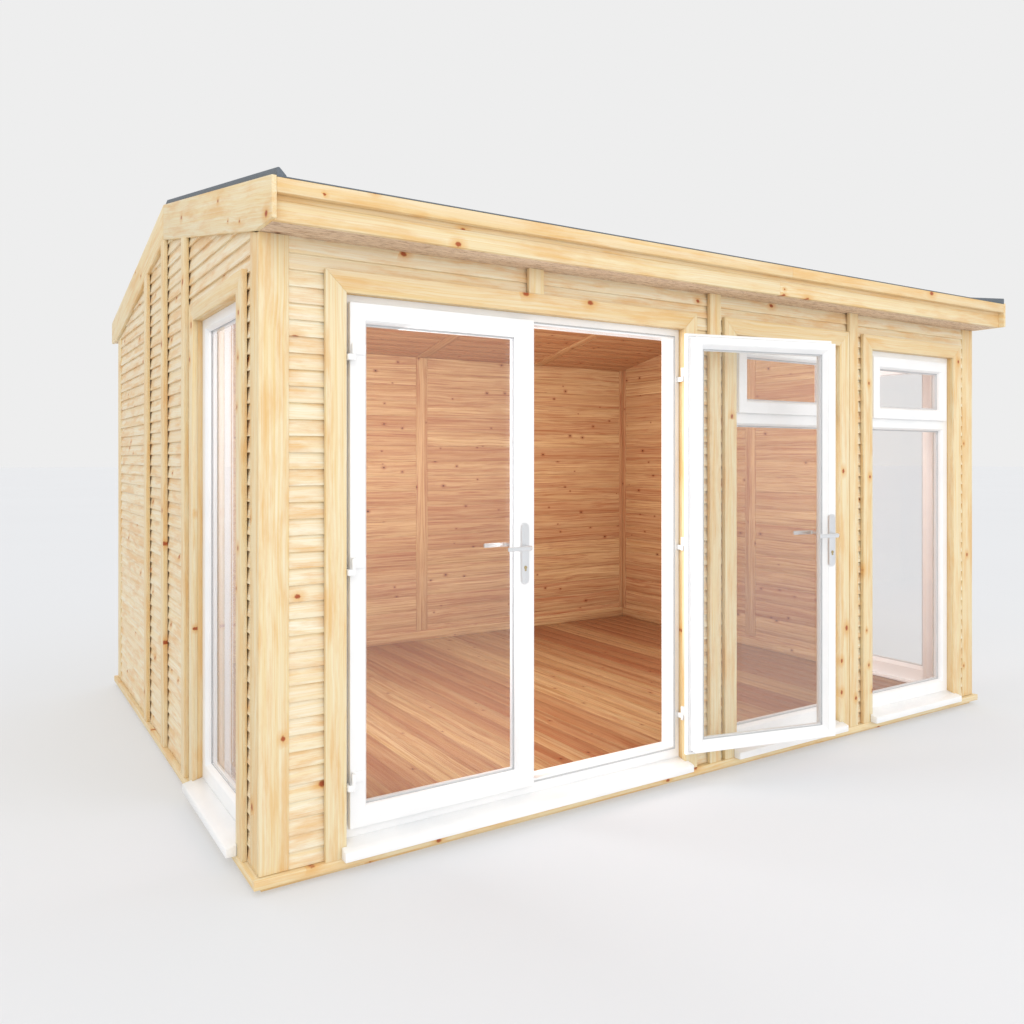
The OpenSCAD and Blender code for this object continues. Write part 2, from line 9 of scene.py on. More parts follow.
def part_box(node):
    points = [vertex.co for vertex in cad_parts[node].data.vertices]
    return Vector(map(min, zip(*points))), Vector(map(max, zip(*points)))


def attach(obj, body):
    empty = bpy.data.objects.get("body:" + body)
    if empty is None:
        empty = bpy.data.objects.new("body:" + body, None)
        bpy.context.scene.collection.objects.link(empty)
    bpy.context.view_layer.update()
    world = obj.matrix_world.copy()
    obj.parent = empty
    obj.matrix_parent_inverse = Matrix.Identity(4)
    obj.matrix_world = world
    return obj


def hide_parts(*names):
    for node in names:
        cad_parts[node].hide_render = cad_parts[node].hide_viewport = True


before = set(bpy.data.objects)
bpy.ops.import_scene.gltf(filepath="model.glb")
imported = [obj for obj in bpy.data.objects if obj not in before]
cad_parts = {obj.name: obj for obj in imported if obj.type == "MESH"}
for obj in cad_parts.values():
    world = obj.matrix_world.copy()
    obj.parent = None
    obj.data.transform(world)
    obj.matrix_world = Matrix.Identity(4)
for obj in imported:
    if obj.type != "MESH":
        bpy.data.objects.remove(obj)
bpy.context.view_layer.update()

# ---- Floor base ----
# Bearers on the ground carry a solid floor panel. All of it is planed, clear-treated pine:
# pale, with soft streaks along each board and a few small red-brown knots.


def linear(code):
    """An sRGB hex colour as linear RGBA."""
    parts = [int(code[i:i + 2], 16) / 255 for i in (1, 3, 5)]
    return [c / 12.92 if c <= 0.04045 else ((c + 0.055) / 1.055) ** 2.4 for c in parts] + [1.0]


def add_node(tree, kind, inputs=(), **settings):
    """Adds a node with its settings. Its inputs, by name or in their order, are given a
    value, a socket to link, or a node whose first output is linked."""
    node = tree.nodes.new(kind)
    for key, value in settings.items():
        setattr(node, key, value)
    for key, value in inputs.items() if isinstance(inputs, dict) else enumerate(inputs):
        if isinstance(value, bpy.types.Node):
            value = value.outputs[0]
        if isinstance(value, bpy.types.NodeSocket):
            tree.links.new(value, node.inputs[key])
        else:
            node.inputs[key].default_value = value
    return node


def new_material(name):
    material = bpy.data.materials.new(name)
    material.use_nodes = True
    material.node_tree.nodes.clear()
    return material, material.node_tree


def softwood(name, pale, honey, deep, knot, bands=0.5, lines=0.3, rings=0.25, knots=0.12,
             tone_share=0.3, gloss=0.5, band=(0.4, 0.06), line_w=0.004, line_run=0.55,
             knot_r=(0.003, 0.009)):
    """Planed softwood, with streaks about 9 mm wide and growth rings about 8 mm. The grain
    attribute gives each board's place in metres: X along the grain, Y through the board and
    Z across it. The sizes are metres too: band is the length and width of the warm bands,
    line_w and line_run those of the fine lines, and knot_r the radius of the smallest and
    the largest knot."""
    material, tree = new_material(name)
    place = add_node(tree, "ShaderNodeAttribute", attribute_name="grain").outputs["Vector"]
    tone = add_node(tree, "ShaderNodeAttribute", attribute_name="tone").outputs["Fac"]

    def stretched(source, size, detail, rough=0.55):
        moved = add_node(tree, "ShaderNodeMapping", {"Vector": source, "Scale": size})
        return add_node(tree, "ShaderNodeTexNoise", {
            "Vector": moved, "Scale": 1.0, "Detail": detail, "Roughness": rough})

    # the grain wanders by a few millimetres along a board
    drift = stretched(place, (2.2, 6.0, 6.0), 1.0)
    wander = add_node(tree, "ShaderNodeCombineXYZ", {
        "Y": add_node(tree, "ShaderNodeMapRange", (drift, 0, 1, -0.012, 0.012)),
        "Z": add_node(tree, "ShaderNodeMapRange", (drift, 0, 1, 0.014, -0.014))})
    bent = add_node(tree, "ShaderNodeVectorMath", (place, wander), operation="ADD")
    cloud = stretched(bent, (1 / band[0], 0.8 / band[1], 1 / band[1]), 5.0, 0.62)
    streaks = stretched(bent, (1.3, 70.0, 110.0), 4.0, 0.62)
    fine = stretched(bent, (1 / line_run, 0.6 / line_w, 1 / line_w), 3.0, 0.7)
    core = add_node(tree, "ShaderNodeMapping", {"Vector": bent, "Scale": (0.10, 1.0, 1.0)})
    ring = add_node(tree, "ShaderNodeTexWave", {
        "Vector": core, "Scale": 38.0, "Distortion": 1.6, "Detail": 1.5, "Detail Scale": 0.6},
        wave_type="RINGS", rings_direction="X").outputs["Fac"]
    ring_share = add_node(tree, "ShaderNodeMath", (
        add_node(tree, "ShaderNodeMapRange", (ring, 0.55, 1.0, 0.0, rings)),
        add_node(tree, "ShaderNodeMapRange", (drift, 0.35, 0.7, 0.2, 1.0))), operation="MULTIPLY")

    # each layer goes over the ones before it
    colour = linear(pale)
    for share, tint in (
            (add_node(tree, "ShaderNodeMapRange", (streaks, 0.36, 0.68)), honey),
            (ring_share, honey),
            (add_node(tree, "ShaderNodeMapRange", (cloud, 0.47, 0.64, 0.0, bands)), deep),
            (add_node(tree, "ShaderNodeMapRange", (fine, 0.49, 0.67, 0.0, lines)), deep),
            (add_node(tree, "ShaderNodeMapRange", (tone, 0.0, 1.0, 0.0, tone_share)), deep)):
        colour = add_node(tree, "ShaderNodeMixRGB", (share, colour, linear(tint)))

    # knots: one now and then, each a ragged dark core in a short warm halo
    flat = add_node(tree, "ShaderNodeSeparateXYZ", (place,)).outputs
    face = add_node(tree, "ShaderNodeCombineXYZ", (
        add_node(tree, "ShaderNodeMath", (flat["X"], 0.72), operation="MULTIPLY"), flat["Z"]))
    ragged = add_node(tree, "ShaderNodeTexNoise", {
        "Vector": place, "Scale": 120.0, "Detail": 1.0}).outputs["Color"]
    torn = add_node(tree, "ShaderNodeVectorMath", (ragged, (0.006, 0.006, 0.0), face),
                    operation="MULTIPLY_ADD")
    per_metre = 9.0
    cells = add_node(tree, "ShaderNodeTexVoronoi", {"Vector": torn, "Scale": per_metre},
                     voronoi_dimensions="2D").outputs
    luck = add_node(tree, "ShaderNodeSeparateColor", (cells["Color"],)).outputs
    there = add_node(tree, "ShaderNodeMath", (luck["Red"], knots), operation="LESS_THAN")
    size = add_node(tree, "ShaderNodeMapRange", (
        luck["Green"], 0, 1, knot_r[0] * per_metre, knot_r[1] * per_metre))
    ratio = add_node(tree, "ShaderNodeMath", (cells["Distance"], size), operation="DIVIDE")
    for near, far, most, tint in ((0.9, 3.6, 0.65, deep), (0.6, 1.1, 0.9, knot)):
        share = add_node(tree, "ShaderNodeMath", (
            add_node(tree, "ShaderNodeMapRange", (ratio, near, far, most, 0.0)), there),
            operation="MULTIPLY")
        colour = add_node(tree, "ShaderNodeMixRGB", (share, colour, linear(tint)))

    bump = add_node(tree, "ShaderNodeBump", {
        "Height": fine, "Strength": 0.25, "Distance": 0.0006})
    wood = add_node(tree, "ShaderNodeBsdfPrincipled", {
        "Base Color": colour, "Roughness": gloss, "Specular IOR Level": 0.3, "Normal": bump})
    add_node(tree, "ShaderNodeOutputMaterial", (wood,))
    return material


def mesh_from(bm, name):
    mesh = bpy.data.meshes.new(name)
    bm.to_mesh(mesh)
    bm.free()
    return mesh


def ease_edges(bm, width, least_angle):
    """Rounds every edge that turns by more than this many radians."""
    sharp = [e for e in bm.edges if len(e.link_faces) == 2 and e.calc_face_angle() > least_angle]
    bmesh.ops.bevel(bm, geom=sharp, offset=width, segments=2, profile=0.5, affect="EDGES",
                    clamp_overlap=True)


class Carcass:
    """Timber pieces that share an object: solids added one by one, each with its own grain."""

    def __init__(self):
        self.bm = bmesh.new()
        self.board = self.bm.verts.layers.int.new("board")
        self.boards = []

    def solid(self, front, back, along, across, tone=None):
        """A prism between two outlines with the same corners in the same order."""
        number = len(self.boards)
        rng = random.Random(number * 7919 + round(sum(front[0]) * 1000))
        a = Vector(along).normalized()
        c = Vector(across).normalized()
        shift = Vector((rng.uniform(0, 40), rng.uniform(-0.06, 0.06), rng.uniform(0.0, 9.0)))
        self.boards.append((a, c.cross(a), c, Vector(front[0]), shift,
                            rng.random() * 0.5 if tone is None else tone))
        first = [self.bm.verts.new(p) for p in front]
        second = [self.bm.verts.new(p) for p in back]
        for v in first + second:
            v[self.board] = number
        self.bm.faces.new(first)
        self.bm.faces.new(second[::-1])
        for i in range(len(first)):
            j = (i + 1) % len(first)
            self.bm.faces.new((second[i], second[j], first[j], first[i]))

    def box(self, low, high, along="x", tone=None):
        """A square-edged board between two corners, with its grain along one axis."""
        (x0, y0, z0), (x1, y1, z1) = low, high
        ways = {"x": (1, 0, 0), "y": (0, 1, 0), "z": (0, 0, 1)}
        sizes = {"x": x1 - x0, "y": y1 - y0, "z": z1 - z0}
        # the board's width is the longer of its two other sides
        usual, other = {"x": "zy", "y": "xz", "z": "xy"}[along]
        across = other if sizes[other] > sizes[usual] else usual
        self.solid([(x0, y0, z0), (x1, y0, z0), (x1, y0, z1), (x0, y0, z1)],
                   [(x0, y1, z0), (x1, y1, z0), (x1, y1, z1), (x0, y1, z1)],
                   ways[along], ways[across], tone)

    def finish(self, name, material, slot, ease=0.0015, replaces=()):
        """Eases the edges, stores the grain and makes the object ride on the building."""
        bm = self.bm
        bmesh.ops.recalc_face_normals(bm, faces=bm.faces)
        if ease:
            ease_edges(bm, ease, 0.35)
        numbers = [v[self.board] for v in bm.verts]
        mesh = mesh_from(bm, name)
        places, shades = [], []
        for v, k in zip(mesh.vertices, numbers):
            a, t, c, start, shift, tone = self.boards[k]
            d = v.co - start
            places += [d.dot(a) + shift[0], d.dot(t) + shift[1], d.dot(c) + shift[2]]
            shades.append(tone)
        mesh.attributes.new("grain", "FLOAT_VECTOR", "POINT").data.foreach_set("vector", places)
        mesh.attributes.new("tone", "FLOAT", "POINT").data.foreach_set("value", shades)
        settle(name, mesh, material, "building", replaces)


def settle(name, mesh, material, body, replaces=()):
    """Makes the object for a finished mesh and ties it to its CAD body and nodes."""
    mesh.materials.clear()
    mesh.materials.append(material)
    mesh.shade_smooth()
    mesh.set_sharp_from_angle(angle=math.radians(32))
    piece = bpy.data.objects.new(name, mesh)
    bpy.context.scene.collection.objects.link(piece)
    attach(piece, body)
    if replaces:
        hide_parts(*replaces)


pine = softwood("planed_clear_pine", "#ECE1C2", "#E8D09C", "#DEA85C", "#A2421C", bands=0.5,
                lines=0.35, rings=0.12, knots=0.2, tone_share=0.3, band=(0.35, 0.05),
                line_w=0.003, knot_r=(0.004, 0.012))

base_low, base_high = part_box("floor_panel")
bearers_low, bearers_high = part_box("front_back_bearers")
timber = Carcass()
# the panel's edge is faced with a board on each side; end boards run between the long ones
edge = 0.022
butt_gap, set_in = 0.0005, 0.001
x0, y0, z0 = base_low
x1, y1, z1 = base_high
timber.box((x0, y0, z0), (x1, y0 + edge, z1), "x", 0.25)
timber.box((x0, y1 - edge, z0), (x1, y1, z1), "x", 0.2)
timber.box((x0, y0 + edge + butt_gap, z0), (x0 + edge, y1 - edge - butt_gap, z1), "y", 0.35)
timber.box((x1 - edge, y0 + edge + butt_gap, z0), (x1, y1 - edge - butt_gap, z1), "y", 0.3)
timber.box((x0 + edge, y0 + edge, z0 + set_in), (x1 - edge, y1 - edge, z1 - set_in), "x", 0.4)
timber.finish("floor_edge_boards", pine, "cladding_pine", ease=0.002, replaces=["floor_panel"])

timber = Carcass()
bearer_w = 0.070
for y_a, y_b in ((bearers_low.y, bearers_low.y + bearer_w),
                 (bearers_high.y - bearer_w, bearers_high.y)):
    timber.box((bearers_low.x, y_a, 0), (bearers_high.x, y_b, bearers_high.z), "x", 0.6)
timber.finish("ground_bearers", pine, "cladding_pine", replaces=["front_back_bearers"])
timber = Carcass()
cross_low, cross_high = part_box("cross_bearers")
cross_count = 9
for i in range(cross_count):
    x = cross_low.x + i * (cross_high.x - cross_low.x - bearer_w) / (cross_count - 1)
    timber.box((x, cross_low.y, 0), (x + bearer_w, cross_high.y, cross_high.z), "y", 0.6)
timber.finish("ground_cross_bearers", pine, "cladding_pine", replaces=["cross_bearers"])

# ---- Wall panels ----
# Framed panels of the same pine, hidden by the cladding outside and the lining inside.
# Their cut edges show only in the openings, behind the surrounds.


def sawn_softwood(name, pale, honey):
    """Sawn softwood on a panel's edges: streaks along Z, about 8 mm apart."""
    material, tree = new_material(name)
    place = add_node(tree, "ShaderNodeTexCoord").outputs["Object"]
    moved = add_node(tree, "ShaderNodeMapping", {"Vector": place, "Scale": (90.0, 90.0, 2.5)})
    streaks = add_node(tree, "ShaderNodeTexNoise", {"Vector": moved, "Scale": 1.0, "Detail": 3.0})
    colour = add_node(tree, "ShaderNodeMixRGB", (
        add_node(tree, "ShaderNodeMapRange", (streaks, 0.35, 0.7)), linear(pale), linear(honey)))
    wood = add_node(tree, "ShaderNodeBsdfPrincipled", {"Base Color": colour, "Roughness": 0.6})
    add_node(tree, "ShaderNodeOutputMaterial", (wood,))
    return material


def dress(material, *names):
    """Gives carried-over CAD nodes their finish."""
    for node in names:
        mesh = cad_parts[node].data
        mesh.materials.clear()
        mesh.materials.append(material)


wall_nodes = ["front_wall_left", "front_wall_middle", "front_wall_between_windows",
              "front_wall_right", "front_wall_header", "left_wall", "right_wall", "back_wall"]
panel_edge = sawn_softwood("sawn_pine_panel_edge", "#EBD2A2", "#D6AB6C")
dress(panel_edge, *wall_nodes)

left_low, left_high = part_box("left_wall")
back_low, back_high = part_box("back_wall")
core_x, core_y = -left_low.x, back_high.y
room_x, room_y = -left_high.x, back_low.y
panel_z, wall_top, ceiling_ridge_z = back_low.z, back_high.z, left_high.z
rise = (ceiling_ridge_z - wall_top) / room_y
face_x, face_y, soffit_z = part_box("front_back_corner_boards")[1]
opening_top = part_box("front_wall_header")[0].z
door_x = (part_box("front_wall_left")[1].x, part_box("front_wall_middle")[0].x)
window_1_x = (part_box("front_wall_middle")[1].x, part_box("front_wall_between_windows")[0].x)
window_2_x = (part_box("front_wall_between_windows")[1].x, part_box("front_wall_right")[0].x)
frame_low, frame_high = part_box("side_window_frames")
frame_fit = 0.0003
side_window_y = (frame_low.y - frame_fit, frame_high.y + frame_fit)
corner_w = 0.098
corners = [(sx, sy) for sx in (-1, 1) for sy in (-1, 1)]


def ceiling_z(y):
    return ceiling_ridge_z - abs(y) * rise


# ---- Lapped cladding ----
# Feather-edged pine boards, nailed to the panels from the bottom up, so that each one's
# thick lower edge stands over the thin top of the board below and throws a shadow on it.


def board_courses(name):
    """Nodes that put one board on each point. A point carries the board's run in metres, its turn,
    its share of the full height and its stain_and_shade, which is a real stain on the floorboards
    and painted light and shade on the end walls' cladding and the ceiling; the nodes give each board
    its own tone and its own place in the log."""
    tree = bpy.data.node_groups.new(name, "GeometryNodeTree")
    face = tree.interface
    face.new_socket("Geometry", in_out="OUTPUT", socket_type="NodeSocketGeometry")
    for label, kind in (("Geometry", "Geometry"), ("Height", "Float"), ("Lower Edge", "Float"),
                        ("Upper Edge", "Float"), ("Easing", "Float"), ("Tone Spread", "Float"),
                        ("Seed", "Int"), ("Wood", "Material")):
        face.new_socket(label, in_out="INPUT", socket_type="NodeSocket" + kind)
    given = add_node(tree, "NodeGroupInput").outputs
    held = {label: add_node(tree, "GeometryNodeInputNamedAttribute", (label,), data_type=kind)
            for label, kind in (("run", "FLOAT"), ("share", "FLOAT"), ("stain_and_shade", "FLOAT"),
                                ("turn", "FLOAT_VECTOR"), ("shape", "FLOAT_VECTOR"),
                                ("log", "FLOAT_VECTOR"))}

    def corner(out, up):
        down = add_node(tree, "ShaderNodeMath", (up, -1.0), operation="MULTIPLY")
        return add_node(tree, "ShaderNodeCombineXYZ", (out, down))

    # one board, a metre long
    outline = add_node(tree, "GeometryNodeCurvePrimitiveQuadrilateral", {
        "Point 1": (0, 0, 0), "Point 2": corner(0.0, given["Height"]),
        "Point 3": corner(given["Upper Edge"], given["Height"]),
        "Point 4": corner(given["Lower Edge"], 0.0)}, mode="POINTS")
    eased = add_node(tree, "GeometryNodeFilletCurve", {
        "Curve": outline, "Count": 2, "Radius": given["Easing"], "Limit Radius": True},
        mode="POLY")
    unit = add_node(tree, "GeometryNodeCurvePrimitiveLine", {"End": (1, 0, 0)})
    board = add_node(tree, "GeometryNodeCurveToMesh", {
        "Curve": unit, "Profile Curve": eased, "Fill Caps": True})
    shaped = add_node(tree, "GeometryNodeStoreNamedAttribute", {
        "Geometry": board, "Name": "shape", "Value": add_node(tree, "GeometryNodeInputPosition")},
        data_type="FLOAT_VECTOR", domain="POINT")

    # a copy on each point, at its run and height
    spin = add_node(tree, "FunctionNodeEulerToRotation", (held["turn"],))
    stretch = add_node(tree, "ShaderNodeCombineXYZ", (held["run"], 1.0, held["share"]))
    laid = add_node(tree, "GeometryNodeInstanceOnPoints", {
        "Points": given["Geometry"], "Instance": shaped, "Rotation": spin, "Scale": stretch})
    chance = add_node(tree, "FunctionNodeRandomValue", {
        2: 0.0, 3: 1.0, "Seed": given["Seed"]}, data_type="FLOAT").outputs[1]
    spread = add_node(tree, "ShaderNodeMath", (chance, given["Tone Spread"]),
                      operation="MULTIPLY")
    tone = add_node(tree, "ShaderNodeMath", (spread, held["stain_and_shade"]), operation="ADD")
    toned = add_node(tree, "GeometryNodeStoreNamedAttribute", {
        "Geometry": laid, "Name": "tone", "Value": tone}, data_type="FLOAT", domain="INSTANCE")
    log = add_node(tree, "FunctionNodeRandomValue", {
        0: (0.0, -0.07, 0.0), 1: (40.0, 0.07, 9.0), "Seed": given["Seed"]},
        data_type="FLOAT_VECTOR")
    sawn = add_node(tree, "GeometryNodeStoreNamedAttribute", {
        "Geometry": toned, "Name": "log", "Value": log}, data_type="FLOAT_VECTOR",
        domain="INSTANCE")

    # real boards, with the grain's place measured along each one's true length
    real = add_node(tree, "GeometryNodeRealizeInstances", {"Geometry": sawn})
    length = add_node(tree, "ShaderNodeCombineXYZ", (held["run"], 1.0, 1.0))
    place = add_node(tree, "ShaderNodeVectorMath", (held["shape"], length, held["log"]),
                     operation="MULTIPLY_ADD")
    grained = add_node(tree, "GeometryNodeStoreNamedAttribute", {
        "Geometry": real, "Name": "grain", "Value": place}, data_type="FLOAT_VECTOR",
        domain="POINT")
    finished = add_node(tree, "GeometryNodeSetMaterial", {
        "Geometry": grained, "Material": given["Wood"]})
    add_node(tree, "NodeGroupOutput", (finished,))
    return tree


lay_boards = board_courses("board_courses")


def turn_for(along, outward):
    """Turn that points a board's length along one way and its face another."""
    a, o = Vector(along).normalized(), Vector(outward).normalized()
    return tuple(Matrix((a, -o, a.cross(-o))).transposed().to_euler())


def boarding(name, boards, sizes, wood, replaces=()):
    """Runs the nodes over a list of (start, along, outward, run, share, stain_and_shade)."""
    points = bpy.data.meshes.new(name + "_points")
    points.from_pydata([b[0] for b in boards], [], [])
    for label, kind, values in (
            ("run", "FLOAT", [b[3] for b in boards]), ("share", "FLOAT", [b[4] for b in boards]),
            ("stain_and_shade", "FLOAT", [b[5] for b in boards])):
        points.attributes.new(label, kind, "POINT").data.foreach_set("value", values)
    turns = [c for b in boards for c in turn_for(b[1], b[2])]
    points.attributes.new("turn", "FLOAT_VECTOR", "POINT").data.foreach_set("vector", turns)
    carrier = bpy.data.objects.new(name + "_points", points)
    bpy.context.scene.collection.objects.link(carrier)
    modifier = carrier.modifiers.new("boards", "NODES")
    modifier.node_group = lay_boards
    sockets = {s.name: s.identifier for s in lay_boards.interface.items_tree
               if s.in_out == "INPUT"}
    for label, value in dict(sizes, Wood=wood).items():
        modifier[sockets[label]] = value
    evaluated = carrier.evaluated_get(bpy.context.evaluated_depsgraph_get())
    mesh = bpy.data.meshes.new_from_object(evaluated)
    mesh.name = name
    for label in ("run", "share", "stain_and_shade", "turn", "shape", "log"):
        if label in mesh.attributes:
            mesh.attributes.remove(mesh.attributes[label])
    bpy.data.objects.remove(carrier)
    settle(name, mesh, wood, "building", replaces)


def cut_runs(low, high, holes):
    """What is left of a run from low to high after the holes, in order, are taken out."""
    runs, start = [], low
    for a, b in sorted(holes):
        if a > start:
            runs.append((start, min(a, high)))
        start = max(start, b)
    if start < high:
        runs.append((start, high))
    return [(a, b) for a, b in runs if b - a > 0.01]


clad_t = face_x - core_x
course_count = 38
course = (soffit_z - panel_z) / course_count
lapped = {"Height": course + 0.001, "Lower Edge": clad_t - 0.0005, "Upper Edge": 0.0085,
          "Easing": 0.0016, "Tone Spread": 0.5}
clear_pine_boards = softwood("lapped_clear_pine", "#F0ECD8", "#EDDDB5", "#DEA658", "#A04020",
                             bands=0.5, lines=0.3, rings=0.1, knots=0.12, tone_share=0.3,
                             band=(0.22, 0.04), line_w=0.003, knot_r=(0.004, 0.011))

# the boards stop under the surrounds, this far from the openings
hidden_edge = 0.038
# a length is no shorter than this, and the last course stops this far below the ridge
shortest, ridge_gap = 0.05, 0.005
front_boards, back_boards, left_boards, right_boards = [], [], [], []
inner_x, inner_y = face_x - corner_w, face_y - corner_w
# lengths of cladding meet at these places, which the battens cover
back_joints, side_joints = (-1.0, 0.0, 1.0), (-0.45, 0.0, 0.45)
for i in range(course_count):
    z = panel_z + i * course
    holes = [door_x, window_1_x, window_2_x] if z < opening_top + hidden_edge else []
    for a, b in cut_runs(-inner_x, inner_x, [(a - hidden_edge, b + hidden_edge) for a, b in holes]):
        front_boards.append(((a, -core_y, z), (1, 0, 0), (0, -1, 0), b - a, 1.0, 0.0))
    for a, b in zip((-inner_x,) + back_joints, back_joints + (inner_x,)):
        back_boards.append(((b, core_y, z), (-1, 0, 0), (0, 1, 0), b - a, 1.0, 0.0))
z = panel_z
while z < ceiling_ridge_z - ridge_gap:
    reach = min(inner_y, (ceiling_ridge_z - z) / rise)
    holes = [side_window_y] if z < opening_top + hidden_edge else []
    for a, b in cut_runs(-reach, reach, [(a - hidden_edge, b + hidden_edge) for a, b in holes]):
        cuts = [a] + [j for j in side_joints if a + shortest < j < b - shortest] + [b]
        for p, q in zip(cuts, cuts[1:]):
            # the end-wall boards take 0.3 of stain_and_shade: painted light, a deeper, warmer tone
            # that copies how the end walls are lit
            left_boards.append(((-core_x, q, z), (0, -1, 0), (-1, 0, 0), q - p, 1.0, 0.3))
            right_boards.append(((core_x, p, z), (0, 1, 0), (1, 0, 0), q - p, 1.0, 0.3))
    z += course
for name, boards, seed in (("front_cladding", front_boards, 11), ("back_cladding", back_boards, 12),
                           ("left_cladding", left_boards, 13), ("right_cladding", right_boards, 14)):
    boarding(name, boards, dict(lapped, Seed=seed), clear_pine_boards)

# ---- Corner boards ----
# Smooth planed pine boards up each corner. The cladding butts against them, and the one on
# the end wall butts against the back of the one on the front or back.

timber = Carcass()
for sx, sy in corners:
    xs = sorted((sx * face_x, sx * (face_x - corner_w)))
    ys = sorted((sy * face_y, sy * core_y))
    timber.box((xs[0], ys[0], panel_z), (xs[1], ys[1], soffit_z), "z")
timber.finish("front_back_corner_trims", pine, "cladding_pine", ease=0.003,
              replaces=["front_back_corner_boards"])
timber = Carcass()
for sx, sy in corners:
    outer, inner = sy * (core_y - butt_gap), sy * inner_y
    outline = [(outer, panel_z), (inner, panel_z), (inner, max(ceiling_z(inner_y), soffit_z)),
               (outer, soffit_z)]
    timber.solid([(sx * face_x, y, z) for y, z in outline],
                 [(sx * core_x, y, z) for y, z in outline], (0, 0, 1), (0, 1, 0))
timber.finish("side_corner_trims", pine, "cladding_pine", ease=0.002,
              replaces=["side_corner_boards"])

# ---- Battens ----
# Flat pine boards nailed over the cladding, where two widths of it meet. The cladding's
# thin upper edges leave small dark gaps behind them, one for each course.

proud = -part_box("front_battens")[0].y - face_y
batten_w = 0.066
surround_w = 0.072
back_skin = 0.0008


def batten(timber, wall, mid, foot, top):
    """One batten on a wall, with its back on the cladding's outermost edges. The top is a
    height, or a function that gives it for a place along the wall."""
    a, b = mid - batten_w / 2, mid + batten_w / 2
    tops = (top(a), top(b)) if callable(top) else (top, top)
    outline = [(a, foot), (b, foot), (b, tops[1]), (a, tops[0])]
    side = -1 if wall in ("front", "left") else 1
    if wall in ("front", "back"):
        timber.solid([(p, side * (face_y + proud), z) for p, z in outline],
                     [(p, side * (face_y - back_skin), z) for p, z in outline],
                     (0, 0, 1), (1, 0, 0))
    else:
        timber.solid([(side * (face_x + proud), p, z) for p, z in outline],
                     [(side * (face_x - back_skin), p, z) for p, z in outline],
                     (0, 0, 1), (0, 1, 0))


door_mid = (door_x[0] + door_x[1]) / 2
window_1_gap, window_2_gap = 0.025, 0.0425
timber = Carcass()
batten(timber, "front", door_mid, opening_top + surround_w, soffit_z)
for window_x, gap in ((window_1_x, window_1_gap), (window_2_x, window_2_gap)):
    batten(timber, "front", window_x[0] - surround_w - gap - batten_w / 2, panel_z, soffit_z)
timber.finish("front_cover_battens", pine, "cladding_pine", ease=0.002, replaces=["front_battens"])
timber = Carcass()
for wall in ("left", "right"):
    for y in side_joints:
        batten(timber, wall, y, panel_z, ceiling_z)
timber.finish("side_cover_battens", pine, "cladding_pine", ease=0.002, replaces=["side_battens"])
timber = Carcass()
for x in back_joints:
    batten(timber, "back", x, panel_z, soffit_z)
timber.finish("back_cover_battens", pine, "cladding_pine", ease=0.002, replaces=["back_battens"])

# ---- Surrounds ----
# Pine boards around each opening, mitred at the top corners. Each is rebated at the back:
# its outer edge laps over the cladding and its inner edge goes back to the panel.

lap_over = 0.030


def surround(timber, a, b, to_wall):
    """Two uprights and a head around an opening from a to b, as seen from outside."""
    top, inset = opening_top, surround_w - lap_over
    front, step, back = -face_y - proud, -face_y + back_skin, -core_y
    upright, level = to_wall.way(0, 0, 1), to_wall.way(1, 0, 0)

    def lay(outline, y_a, y_b, along, across, tone):
        timber.solid([to_wall((x, y_a, z)) for x, z in outline],
                     [to_wall((x, y_b, z)) for x, z in outline], along, across, tone)

    for way, inner in ((-1, a), (1, b)):
        outer, lap = inner + way * surround_w, inner + way * surround_w - way * lap_over
        lay([(outer, panel_z), (inner, panel_z), (inner, top), (outer, top + surround_w)],
            front, step, upright, level, 0.0)
        lay([(lap, panel_z), (inner, panel_z), (inner, top), (lap, top + surround_w - lap_over)],
            step, back, upright, level, 1.0)
    lay([(a, top), (b, top), (b + surround_w, top + surround_w), (a - surround_w, top + surround_w)],
        front, step, level, upright, 0.5)
    lay([(a, top), (b, top), (b + inset, top + inset), (a - inset, top + inset)],
        step, back, level, upright, 1.0)


class Carrier:
    """Carries a piece from where it is drawn to where it belongs."""

    def __init__(self, matrix):
        self.matrix = matrix

    def __call__(self, point):
        return self.matrix @ Vector(point)

    def way(self, x, y, z):
        return self.matrix.to_3x3() @ Vector((x, y, z))


# pieces on the end walls are drawn as if on the front, from the window's rear edge
on_front = Carrier(Matrix.Identity(4))
on_left = Carrier(Matrix.Translation((-face_x, side_window_y[1], 0))
                  @ Matrix.Rotation(-math.pi / 2, 4, "Z") @ Matrix.Translation((0, face_y, 0)))
on_right = Carrier(Matrix.Scale(-1, 4, (1, 0, 0)) @ on_left.matrix)
side_w = side_window_y[1] - side_window_y[0]
timber = Carcass()
surround(timber, *door_x, on_front)
timber.finish("door_surround_boards", pine, "cladding_pine", ease=0.0015, replaces=["door_surround"])
timber = Carcass()
surround(timber, *window_1_x, on_front)
surround(timber, *window_2_x, on_front)
timber.finish("front_window_surround_boards", pine, "cladding_pine", ease=0.0015,
              replaces=["front_window_surrounds"])
timber = Carcass()
surround(timber, 0, side_w, on_left)
surround(timber, 0, side_w, on_right)
timber.finish("side_window_surround_boards", pine, "cladding_pine", ease=0.0015,
              replaces=["side_window_surrounds"])

# ---- Eaves and bargeboards ----
# Planed pine: a fascia under a proud cap strip along front and back, soffit boards below,
# and a pair of deep bargeboards on each gable that meet plumb at the ridge.

roof_ridge_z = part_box("front_roof_panel")[1].z
membrane_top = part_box("roof_membrane")[1].z
membrane_t = membrane_top - roof_ridge_z
barge_x, eaves_y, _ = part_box("bargeboards")[1]
roof_end_x, fascia_y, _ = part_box("fascia_boards")[1]
# a fascia is two boards, the upper one set back by a step and darker in tone as painted shade under
# the cap strip; both and the cap have one joint
fascia_t, cap_h, step = 0.020, 0.046, 0.0015
step_z = soffit_z + 0.062
fascia_joint_x, cap_joint_x = 0.24, 0.29


def roof_z(y):
    return roof_ridge_z - abs(y) * rise


